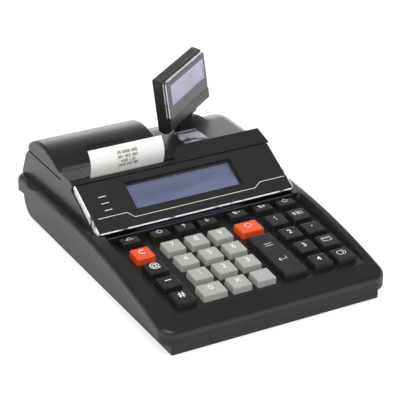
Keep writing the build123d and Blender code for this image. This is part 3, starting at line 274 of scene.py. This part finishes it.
# patch, grain, relief and edge are in millimetres; real grain is finer, and is drawn as coarse as it shows
plastics = {
    # case halves and lid: textured ABS, near black, satin
    "caseAbs": {"colour": "#1B1A1B", "worn": "#1F1E1F", "patch": 60, "grain": 0.5,
                "rough": (0.28, 0.36), "bump": 0.22, "relief": 0.06, "edge": 0.5},
    # lower half: the same resin, a little duller; its darker colour and weaker reflection (lower IOR) are
    # painted shade
    "shadedTubAbs": {"colour": "#161516", "worn": "#1A191A", "patch": 60, "grain": 0.5,
               "rough": (0.32, 0.4), "bump": 0.25, "relief": 0.06, "edge": 0.4, "ior": 1.43},
    # customer display: finer texture, a little glossier
    "headAbs": {"colour": "#181718", "worn": "#1C1B1C", "patch": 40, "grain": 0.5,
                "rough": (0.26, 0.34), "bump": 0.2, "relief": 0.05, "edge": 0.4},
    # keycaps: smooth ABS, soft shine on the tops, bright rims; the black ones are glossier
    "greyKeyAbs": {"colour": "#9FA19B", "worn": "#A4A6A0", "patch": 12, "grain": 0.6,
                   "rough": (0.36, 0.46), "bump": 0.08, "relief": 0.05, "edge": 0.6},
    "orangeKeyAbs": {"colour": "#E44B1B", "worn": "#E8511F", "patch": 12, "grain": 0.6,
                     "rough": (0.34, 0.44), "bump": 0.08, "relief": 0.05, "edge": 0.6},
    "blackKeyAbs": {"colour": "#211F21", "worn": "#262526", "patch": 12, "grain": 0.6,
                    "rough": (0.18, 0.26), "bump": 0.08, "relief": 0.05, "edge": 0.6},
    # moulded rubber: matt, it swallows highlights
    "footRubber": {"colour": "#1A1A1A", "worn": "#222222", "patch": 5, "grain": 0.7,
                   "rough": (0.75, 0.9), "bump": 0.4, "relief": 0.1},
    # pressed silicone: pale, waxy
    "contactSilicone": {"colour": "#BFC1BD", "worn": "#B4B6B2", "patch": 8, "grain": 0.8,
                        "rough": (0.55, 0.7), "bump": 0.15, "relief": 0.05},
    # heat-shrunk sleeve: blue, slightly wrinkled, shiny
    "batteryShrinkWrap": {"colour": "#2C5C9A", "worn": "#264F86", "patch": 15, "grain": 2.5,
                          "rough": (0.22, 0.34), "bump": 0.25, "relief": 0.2},
    # glass-filled nylon: black with a dry shine
    "socketNylon": {"colour": "#1E1E20", "worn": "#252527", "patch": 4, "grain": 0.5,
                    "rough": (0.4, 0.55), "bump": 0.15, "relief": 0.04},
    # moulded acetal: milky white, slippery
    "gearAcetal": {"colour": "#DCDCD2", "worn": "#CFCFC4", "patch": 3, "grain": 0.5,
                   "rough": (0.35, 0.45), "bump": 0.05, "relief": 0.03},
    # glazed ceramic strip of the print head
    "headCeramic": {"colour": "#D8D8D2", "worn": "#C4C2BA", "patch": 6, "grain": 0.4,
                    "rough": (0.2, 0.35), "bump": 0.05, "relief": 0.02},
    # moulded polystyrene: dark grey, dull
    "bucketStyrene": {"colour": "#4A4A4C", "worn": "#444446", "patch": 20, "grain": 0.6,
                      "rough": (0.5, 0.62), "bump": 0.2, "relief": 0.06},
    # screen-printed films: flat and dark, glossy under the acrylic
    "plateFilm": {"colour": "#252324", "worn": "#282627", "patch": 30, "grain": 0.4,
                  "rough": (0.2, 0.28), "bump": 0.05, "relief": 0.02},
    "lensFilm": {"colour": "#464445", "worn": "#4A4849", "patch": 20, "grain": 0.4,
                 "rough": (0.2, 0.28), "bump": 0.05, "relief": 0.02},
    # pad-printed legends, even and matt, and thermal print, grey rather than black
    "whiteInk": {"colour": "#E6E6E3", "worn": "#DADAD6", "patch": 3, "grain": 0.3,
                 "rough": (0.5, 0.6), "bump": 0.05, "relief": 0.01},
    "greyInk": {"colour": "#55565A", "worn": "#4B4C50", "patch": 2, "grain": 0.3,
                "rough": (0.6, 0.7), "bump": 0.05, "relief": 0.01},
}
metals = {
    # zinc-plated sheet, turned screws and pins, cut brass; lines stretch the grain along one axis
    "zincSteel": {"colour": "#B5B8BA", "worn": "#9FA2A5", "lines": (0.1, 1, 1), "grain": 0.5,
                  "rough": (0.25, 0.42), "bump": 0.15, "relief": 0.02},
    "screwSteel": {"colour": "#A9ABAD", "worn": "#8F9193", "lines": (1, 1, 0.2), "grain": 0.4,
                   "rough": (0.28, 0.4), "bump": 0.15, "relief": 0.02},
    "pinionBrass": {"colour": "#C9A24E", "worn": "#B58E40", "lines": (0.2, 1, 1), "grain": 0.3,
                    "rough": (0.25, 0.4), "bump": 0.15, "relief": 0.02},
}
finish = {name: grainedPlastic(name, look) for name, look in plastics.items()}
finish.update({name: drawnMetal(name, look) for name, look in metals.items()})
finish["circuitLaminate"] = circuitLaminate("circuitLaminate", {
    "mask": "#0E4A2A", "maskShade": "#0C4225", "copper": "#2A7A4A", "tin": "#B9B7A6",
    "track": 16, "pad": 5, "padShare": 0.16})
finish["thermalPaper"] = thermalPaper("thermalPaper", {
    "colour": "#F4F4F1", "worn": "#E9E9E4", "fibre": 1.2, "relief": 0.03})
finish["sealFoil"] = sealFoil("sealFoil", {
    "dark": "#4C525E", "bright": "#D9DEE4", "wave": 22, "relief": 0.03})

# window plate over the operator's display: its lower edge, slope in degrees, and the clear window
plate = {"slope": 28.25, "lowY": -9.06, "lowZ": 37.2, "half": 77.8, "length": 44.0, "thick": 5.0,
         "corner": 3.0, "windowHalf": 42.3, "windowLow": 14.2, "windowHigh": 37.5}
# customer display: its tilt axis, the way it faces and leans in degrees, then its lens and cell
display = {"x": 40.6, "y": 90.2, "axisZ": 63.2, "heading": 38.1, "lean": 7.7, "clear": 2.6,
           "lcdX": (-27.0, 34.2), "lcdZ": (14.6, 31.4), "faceY": -6.7, "lensHalf": 34.8,
           "lensMiddleZ": 22, "lensZ": (7.6, 36.4), "windowX": (-28.2, 32.0), "windowZ": (16.6, 32.0)}


def platePlace(x, up, height):
    # across the plate, up its slope and out of its face, in millimetres
    slope = math.radians(plate["slope"])
    y = plate["lowY"] + up * math.cos(slope) - height * math.sin(slope)
    z = plate["lowZ"] + up * math.sin(slope) + height * math.cos(slope)
    return Vector((x * mm, y * mm, z * mm))


axis = Matrix.Translation((display["x"] * mm, display["y"] * mm, display["axisZ"] * mm))
heading = Matrix.Rotation(math.radians(display["heading"]), 4, "Z")
lean = Matrix.Rotation(-math.radians(display["lean"]), 4, "X")
displayMatrix = axis @ heading @ lean
displayTurn = displayMatrix.to_euler()
plateTurn = (math.radians(plate["slope"]), 0, 0)
lcdMiddle = (plate["windowLow"] + plate["windowHigh"]) / 2
cellMiddle = (sum(display["lcdX"]) / 2, display["clear"] + sum(display["lcdZ"]) / 2)

# half, foot, lip and core say where the painted edge highlights are; edgeBand is how far they reach in
acrylicEdge = {"lip": 0.7, "edgeHighlightColour": "#F4F6F6"}
edgeBand = 0.8
finish["plateAcrylic"] = clearAcrylic("plateAcrylic", {
    "colour": "#F6F7F6", "place": platePlace(0, plate["length"] / 2, 0), "turn": plateTurn,
    "half": plate["half"] - edgeBand, "foot": edgeBand - plate["length"] / 2, "glintBreakup": 9.0,
    "edge": 0.95, "core": 0, "coreHalf": 0, **acrylicEdge})
finish["lensAcrylic"] = clearAcrylic("lensAcrylic", {
    "colour": "#F0F0F2", "place": displayMatrix @ Vector((0, 0, display["lensMiddleZ"] * mm)),
    "turn": displayTurn, "half": 34.45, "foot": -40.0, "glintBreakup": 4.0, "edge": 0.85,
    "core": -5.2, "coreHalf": 0.75, **acrylicEdge})
finish["operatorCell"] = displayCell("operatorCell", {
    "place": platePlace(0, lcdMiddle, -plate["thick"]), "turn": plateTurn, "up": "Y",
    "half": (40.6, 9.9), "field": "#6C7190", "deep": "#626787", "border": "#33343A",
    "rough": 0.25, "glow": 0.62, "cloud": 30})
finish["customerCell"] = displayCell("customerCell", {
    "place": displayMatrix @ Vector((cellMiddle[0] * mm, 0, cellMiddle[1] * mm)), "turn": displayTurn,
    "up": "Z", "half": (30.2, 8.1), "field": "#B9B7CD", "deep": "#AFADC8", "border": "#6A696C",
    "rough": 0.3, "glow": 0.5, "cloud": 30})

nodeFinish = {
    "caseAbs": ["upper_shell", "paper_lid"],
    "shadedTubAbs": ["lower_tub", "battery_door"],
    "headAbs": ["display_turret", "display_case"],
    "plateAcrylic": ["window_plate"],
    "lensAcrylic": ["display_lens"],
    "operatorCell": ["operator_lcd"],
    "customerCell": ["display_lcd"],
    "footRubber": ["rubber_feet", "platen_roller"],
    "screwSteel": ["case_screws", "lid_hinge_pin"],
    "batteryShrinkWrap": ["battery_pack"],
    "circuitLaminate": ["main_board", "keypad_board"],
    "socketNylon": ["rear_sockets"],
    "contactSilicone": ["key_mat"],
    "gearAcetal": ["platen_gear"],
    "pinionBrass": ["motor_gear"],
    "zincSteel": ["printer_motor", "printer_frame"],
    "headCeramic": ["print_head"],
    "bucketStyrene": ["paper_bucket"],
    "thermalPaper": ["paper_roll", "receipt"],
    "orangeKeyAbs": ["key_clear", "key_subtotal"],
    "greyKeyAbs": ["key_" + digit for digit in "0123456789"] + ["key_times", "key_point"],
}
finishOf = {name: material for material, names in nodeFinish.items() for name in names}
for name, node in nodes.items():
    dress(node, finish[finishOf.get(name, "blackKeyAbs")])  # every other node is a black key

print("register: window plate and lens print")
# dashes and the stepped rule are (left, right, up the plate) and (x, up the plate)
film = {"thick": 0.12, "margin": 0.9, "lift": 0.02, "line": 0.55, "inkLift": 0.16, "cornerSteps": 6,
        "dashes": [(-65.4, -59.7, 18.4), (-65.4, -59.7, 24.4), (-65.4, -59.7, 30.1)], "dash": 0.7,
        "rule": [(-73.0, 12.9), (-50.8, 12.9), (-46.7, 8.0), (48.9, 8.0), (55.3, 12.0), (75.5, 12.0)]}
lensPrint = {"margin": 0.7}


def onPlate(piece, height):
    piece.rotation_euler = plateTurn
    piece.location = platePlace(0, 0, height)


def printedFilm(name, low, high, window, corner=0):
    # a flat print in the XY plane with a hole for the display, its two low corners rounded if asked
    deselectAll()
    bpy.ops.mesh.primitive_plane_add(size=1)
    piece = bpy.context.object
    piece.name = name
    piece.scale = ((high[0] - low[0]) * mm, (high[1] - low[1]) * mm, 1)
    piece.location = ((low[0] + high[0]) / 2 * mm, (low[1] + high[1]) / 2 * mm, 0)
    bpy.ops.object.transform_apply(location=True, rotation=True, scale=True)
    bpy.ops.object.mode_set(mode="EDIT")
    for side in (0, 1):
        for place in window[side]:
            point, normal = [0, 0, 0], [0, 0, 0]
            point[side] = place * mm
            normal[side] = 1
            bpy.ops.mesh.select_all(action="SELECT")
            bpy.ops.mesh.bisect(plane_co=point, plane_no=normal)
    bpy.ops.mesh.select_all(action="DESELECT")
    bpy.ops.object.mode_set(mode="OBJECT")
    for face in piece.data.polygons:
        face.select = all(window[side][0] * mm < face.center[side] < window[side][1] * mm
                          for side in (0, 1))
    bpy.ops.object.mode_set(mode="EDIT")
    bpy.ops.mesh.select_mode(type="FACE")
    bpy.ops.mesh.delete(type="FACE")
    if corner:
        bpy.ops.object.mode_set(mode="OBJECT")
        for vertex in piece.data.vertices:
            atSide = abs(vertex.co.x) > (high[0] - corner / 2) * mm
            vertex.select = atSide and vertex.co.y < (low[1] + corner / 2) * mm
        bpy.ops.object.mode_set(mode="EDIT")
        bpy.ops.mesh.select_mode(type="VERT")
        bpy.ops.mesh.bevel(offset=corner * mm, segments=film["cornerSteps"], affect="VERTICES")
    bpy.ops.mesh.select_all(action="SELECT")
    bpy.ops.mesh.extrude_region_move(TRANSFORM_OT_translate={"value": (0, 0, film["thick"] * mm)})
    bpy.ops.mesh.select_all(action="SELECT")
    bpy.ops.mesh.normals_make_consistent(inside=False)
    bpy.ops.object.mode_set(mode="OBJECT")
    return piece


def strokePiece(name, paths, width, thick=0.05):
    # a flat ribbon along each path, in the XY plane, in millimetres
    curve = bpy.data.curves.new(name, "CURVE")
    curve.dimensions = "3D"
    curve.bevel_depth = width / 2 * mm
    curve.bevel_resolution = 1
    curve.use_fill_caps = True
    for path in paths:
        spline = curve.splines.new("POLY")
        spline.points.add(len(path) - 1)
        for point, (x, y) in zip(spline.points, path):
            point.co = (x * mm, y * mm, 0, 1)
    piece = bpy.data.objects.new(name, curve)
    bpy.context.collection.objects.link(piece)
    makeActive(piece)
    bpy.ops.object.convert(target="MESH")
    piece = bpy.context.object
    piece.scale = (1, 1, thick / width)
    bpy.ops.object.transform_apply(location=False, rotation=False, scale=True)
    return piece


filmHalf = plate["half"] - film["margin"]
piece = printedFilm("plateFilm", (-filmHalf, film["margin"]), (filmHalf, plate["length"] - film["margin"]),
                    ((-plate["windowHalf"], plate["windowHalf"]), (plate["windowLow"], plate["windowHigh"])),
                    plate["corner"] - film["margin"] / 2)
onPlate(piece, film["lift"])
settle(piece, finish["plateFilm"], "case")

# the lens carries the same kind of print, stood upright on its face
lensHalf = display["lensHalf"] - lensPrint["margin"]
piece = printedFilm("lensFilm", (-lensHalf, display["lensZ"][0] + lensPrint["margin"]),
                    (lensHalf, display["lensZ"][1] - lensPrint["margin"]),
                    (display["windowX"], display["windowZ"]))
face = Matrix.Translation((0, (display["faceY"] - film["lift"]) * mm, display["clear"] * mm))
piece.matrix_world = displayMatrix @ face @ Matrix.Rotation(math.pi / 2, 4, "X")
settle(piece, finish["lensFilm"], "display_head")

rule = strokePiece("plateRule", [film["rule"]], film["line"])
dashes = strokePiece("plateDashes", [[(left, up), (right, up)] for left, right, up in film["dashes"]],
                     film["dash"])
for piece in (rule, dashes):
    onPlate(piece, film["inkLift"])
    settle(piece, finish["whiteInk"], "case")

print("register: key legends")
# font sizes and places are in millimetres; the key field slopes down to the front, in degrees
legend = {"lift": 0.03, "thick": 0.05, "stroke": 0.55, "fatten": 0.06, "slope": 4.73, "back": 0.8,
          "figure": 7.2, "departmentFigure": 6.4, "dot": 0.4, "probe": 5}


def arc(x, y, radius, start, end, steps=14):
    turns = [math.radians(start + (end - start) * step / steps) for step in range(steps + 1)]
    return [(x + radius * math.cos(turn), y + radius * math.sin(turn)) for turn in turns]


def glyph(words, size):
    # letters as a thin mesh, centred on what they really cover
    deselectAll()
    bpy.ops.object.text_add()
    piece = bpy.context.object
    piece.data.body = words
    piece.data.size = size * mm
    piece.data.align_x = "CENTER"
    piece.data.align_y = "CENTER"
    piece.data.extrude = legend["thick"] / 2 * mm
    piece.data.offset = legend["fatten"] * mm
    piece.data.resolution_u = 4
    bpy.ops.object.convert(target="MESH")
    piece = bpy.context.object
    low = [min(vertex.co[side] for vertex in piece.data.vertices) for side in (0, 1)]
    high = [max(vertex.co[side] for vertex in piece.data.vertices) for side in (0, 1)]
    for vertex in piece.data.vertices:
        vertex.co.x -= (low[0] + high[0]) / 2
        vertex.co.y -= (low[1] + high[1]) / 2
    return piece


def placeLegend(piece, keyName):
    # a ray straight down finds the cap's top, a little behind its middle
    low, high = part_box(keyName)
    start = Vector(((low[0] + high[0]) / 2, (low[1] + high[1]) / 2 + legend["back"] * mm,
                    high[2] + legend["probe"] * mm))
    hit, point, normal, _ = nodes[keyName].ray_cast(start, Vector((0, 0, -1)))
    piece.name = "legend_" + keyName.removeprefix("key_")
    piece.rotation_euler = (math.radians(legend["slope"]), 0, 0)
    piece.location = point + normal * legend["lift"] * mm
    return settle(piece, finish["whiteInk"], keyName)


signs = {
    "key_clear": ("C", 7.2), "key_print": ("@", 7.6), "key_minus": ("−", 9.5), "key_lookup": ("#", 8.4),
    "key_times": ("×", 9.5), "key_percent_minus": ("%−", 4.6), "key_percent_plus": ("%+", 4.6),
}
signs.update({"key_" + digit: (digit, legend["figure"]) for digit in "023456789"})
signs.update({"key_department_" + digit: (digit, legend["departmentFigure"]) for digit in "234"})
for keyName, (words, size) in signs.items():
    placeLegend(glyph(words, size), keyName)

figureOne = [[(-1.2, 1.3), (0.3, 2.4), (0.3, -2.4)]]
dot = [arc(0, 0, legend["dot"], 0, 330)]
strokes = {
    "key_1": figureOne,
    "key_department_1": figureOne,
    "key_point": dot,
    "key_dot": dot,
    "key_subtotal": [[(-3.2, 0), (0, 2.6), (3.2, 0), (0, -2.6), (-3.2, 0)]],
    "key_total": [[(-3.0, 11.6), (3.0, 11.6)], [(-3.0, 9.0), (3.0, 9.0)],
                  [(3.0, -6.6), (3.0, -9.4), (-3.2, -9.4)], [(-1.4, -7.7), (-3.2, -9.4), (-1.4, -11.1)]],
    "key_bar": [[(x, -2.0), (x, 2.0)] for x in (-3.4, -2.4, -0.6, 0.4, 1.4, 3.2)],
    "key_card": [[(-3.4, -2.2), (3.4, -2.2), (3.4, 2.2), (-3.4, 2.2), (-3.4, -2.2)],
                 [(-3.4, 0.9), (3.4, 0.9)]],
    "key_coin": [arc(-1.0, 0, 2.3, 0, 360), arc(0.9, 0, 2.3, -90, 90)],
    "key_eject": [[(-2.8, -1.2), (0, 1.6), (2.8, -1.2), (-2.8, -1.2)]],
    "key_power": [arc(0, -0.2, 1.9, 125, 415), [(0, 0.4), (0, 2.2)]],
    "key_up": [[(0, -2.0), (0, 1.9)], [(-1.4, 0.5), (0, 1.9), (1.4, 0.5)]],
    "key_down": [[(0, 2.0), (0, -1.9)], [(-1.4, -0.5), (0, -1.9), (1.4, -0.5)]],
    "key_home": [[(-1.2, -1.9), (-1.2, -0.2), (-2.6, -0.2), (0, 2.0), (2.6, -0.2), (1.2, -0.2),
                  (1.2, -1.9), (-1.2, -1.9)]],
}
for keyName, paths in strokes.items():
    placeLegend(strokePiece("legend", paths, legend["stroke"], legend["thick"]), keyName)

print("register: receipt and seal")
receiptPrint = {"rows": ["00 0000 000", "001 002 003", "4.50 1.25", "1234 567 89"], "size": 3.1,
                "pitch": 3.0, "topDrop": 4.5, "lift": 0.06, "probe": 20}
low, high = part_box("receipt")
for index, words in enumerate(receiptPrint["rows"]):
    # a ray from the front finds the curled paper at the row's height
    drop = receiptPrint["topDrop"] + index * receiptPrint["pitch"]
    start = Vector(((low[0] + high[0]) / 2, low[1] - receiptPrint["probe"] * mm, high[2] - drop * mm))
    hit, point, normal, _ = nodes["receipt"].ray_cast(start, Vector((0, 1, 0)))
    piece = glyph(words, receiptPrint["size"])
    piece.name = f"receiptRow{index + 1}"
    piece.rotation_euler = (math.atan2(-normal.y, normal.z), 0, 0)
    piece.location = point + normal * receiptPrint["lift"] * mm
    settle(piece, finish["greyInk"], "case")

seal = {"x": (23.5, 43.0), "y": (55.5, 75.5), "z": 58.2, "thick": 0.12, "corner": 0.8, "cornerSteps": 4}
deselectAll()
bpy.ops.mesh.primitive_cube_add(size=1)
piece = bpy.context.object
piece.name = "foilSeal"
piece.location = (sum(seal["x"]) / 2 * mm, sum(seal["y"]) / 2 * mm, (seal["z"] + seal["thick"] / 2) * mm)
piece.scale = ((seal["x"][1] - seal["x"][0]) * mm, (seal["y"][1] - seal["y"][0]) * mm, seal["thick"] * mm)
bpy.ops.object.transform_apply(location=False, rotation=False, scale=True)
bpy.ops.object.mode_set(mode="EDIT")
bpy.ops.mesh.select_all(action="DESELECT")
bpy.ops.object.mode_set(mode="OBJECT")
for edge in piece.data.edges:
    a, b = (piece.data.vertices[index].co for index in edge.vertices)
    edge.select = abs(a.z - b.z) > seal["thick"] / 2 * mm
bpy.ops.object.mode_set(mode="EDIT")
bpy.ops.mesh.select_mode(type="EDGE")
bpy.ops.mesh.bevel(offset=seal["corner"] * mm, segments=seal["cornerSteps"])
bpy.ops.object.mode_set(mode="OBJECT")
settle(piece, finish["sealFoil"], "case")

print("register: studio")
# world is the even light; reflections see it fall from horizon to above, like a lit sweep
studio = {"world": 0.85, "horizon": 1.3, "above": 0.24, "aboveAt": 0.48, "floor": "#B4B4B4",
          "floorGlow": 0.66, "floorSize": 8}
world = bpy.data.worlds.new("paleStudio")
bpy.context.scene.world = world
world.use_nodes = True
tree = world.node_tree
tree.nodes.clear()
rays = addNode(tree, "ShaderNodeLightPath")
generated = addNode(tree, "ShaderNodeTexCoord").outputs["Generated"]
direction = addNode(tree, "ShaderNodeSeparateXYZ", {}, {0: generated})
fall = addNode(tree, "ShaderNodeMapRange",
               {"From Min": 0.0, "From Max": studio["aboveAt"], "To Min": studio["horizon"],
                "To Max": studio["above"]}, {"Value": direction.outputs["Z"]})
glossy = addNode(tree, "ShaderNodeMix", {"data_type": "FLOAT", 2: studio["world"]},
                 {0: rays.outputs["Is Glossy Ray"], 3: fall.outputs[0]})
seen = addNode(tree, "ShaderNodeMath", {"operation": "MAXIMUM"},
               {0: rays.outputs["Is Camera Ray"], 1: rays.outputs["Is Transmission Ray"]})
level = addNode(tree, "ShaderNodeMix", {"data_type": "FLOAT", 3: 1.0},
                {0: seen.outputs[0], 2: glossy.outputs[0]})
sky = addNode(tree, "ShaderNodeBackground", {"Color": (1, 1, 1, 1)}, {"Strength": level.outputs[0]})
addNode(tree, "ShaderNodeOutputWorld", {}, {"Surface": sky.outputs[0]})

deselectAll()
bpy.ops.mesh.primitive_plane_add(size=studio["floorSize"], location=(0, 0, 0))
floor = bpy.context.object
floor.name = "paleFloor"
material, tree, output, place = newMaterial("paleFloor")
rays = addNode(tree, "ShaderNodeLightPath")
seen = addNode(tree, "ShaderNodeMath", {"operation": "MAXIMUM"},
               {0: rays.outputs["Is Camera Ray"], 1: rays.outputs["Is Transmission Ray"]})
mirrored = addNode(tree, "ShaderNodeMath", {"operation": "MAXIMUM"},
                   {0: seen.outputs[0], 1: rays.outputs["Is Glossy Ray"]})
glow = addNode(tree, "ShaderNodeMath", {"operation": "MULTIPLY", 1: studio["floorGlow"]},
               {0: mirrored.outputs[0]})
shader = addNode(tree, "ShaderNodeBsdfPrincipled",
                 {"Base Color": toLinear(studio["floor"]), "Roughness": 0.9,
                  "Emission Color": (1, 1, 1, 1)}, {"Emission Strength": glow.outputs[0]})
tree.links.new(shader.outputs[0], output.inputs["Surface"])
dress(floor, material)

lamps = {
    "highSoftbox": {"at": (-0.35, -0.6, 1.25), "aim": (0, 0, 0), "size": 0.8, "power": 9.0},
    "leftSoftbox": {"at": (-1.4, -0.3, 0.8), "aim": (0, 0, 0.03), "size": 1.0, "power": 3.0},
    "rearSoftbox": {"at": (0.8, 1.39, 0.42), "aim": (0, 0, 0.05), "size": 0.8, "power": 4.0},
}
for name, lamp in lamps.items():
    data = bpy.data.lights.new(name, "AREA")
    data.size = lamp["size"]
    data.energy = lamp["power"]
    light = bpy.data.objects.new(name, data)
    bpy.context.collection.objects.link(light)
    light.location = lamp["at"]
    aim = Vector(lamp["aim"]) - Vector(lamp["at"])
    light.rotation_euler = aim.to_track_quat("-Z", "Y").to_euler()

view = {"at": (-0.51518, -0.93970, 0.57481), "aim": (0.00093, -0.00803, 0.04532), "roll": 0.327,
        "lens": 153.45, "sensor": 36, "reach": 20}
camera = bpy.data.objects.new("studioCamera", bpy.data.cameras.new("studioCamera"))
bpy.context.collection.objects.link(camera)
camera.data.lens = view["lens"]
camera.data.sensor_width = view["sensor"]
camera.data.sensor_height = view["sensor"]
camera.data.clip_end = view["reach"]
camera.location = view["at"]
aim = (Vector(view["aim"]) - Vector(view["at"])).to_track_quat("-Z", "Y").to_matrix()
camera.rotation_euler = (aim @ Matrix.Rotation(math.radians(view["roll"]), 3, "Z")).to_euler()
bpy.context.scene.camera = camera
bpy.context.scene.view_settings.view_transform = "Standard"

print("register: done")
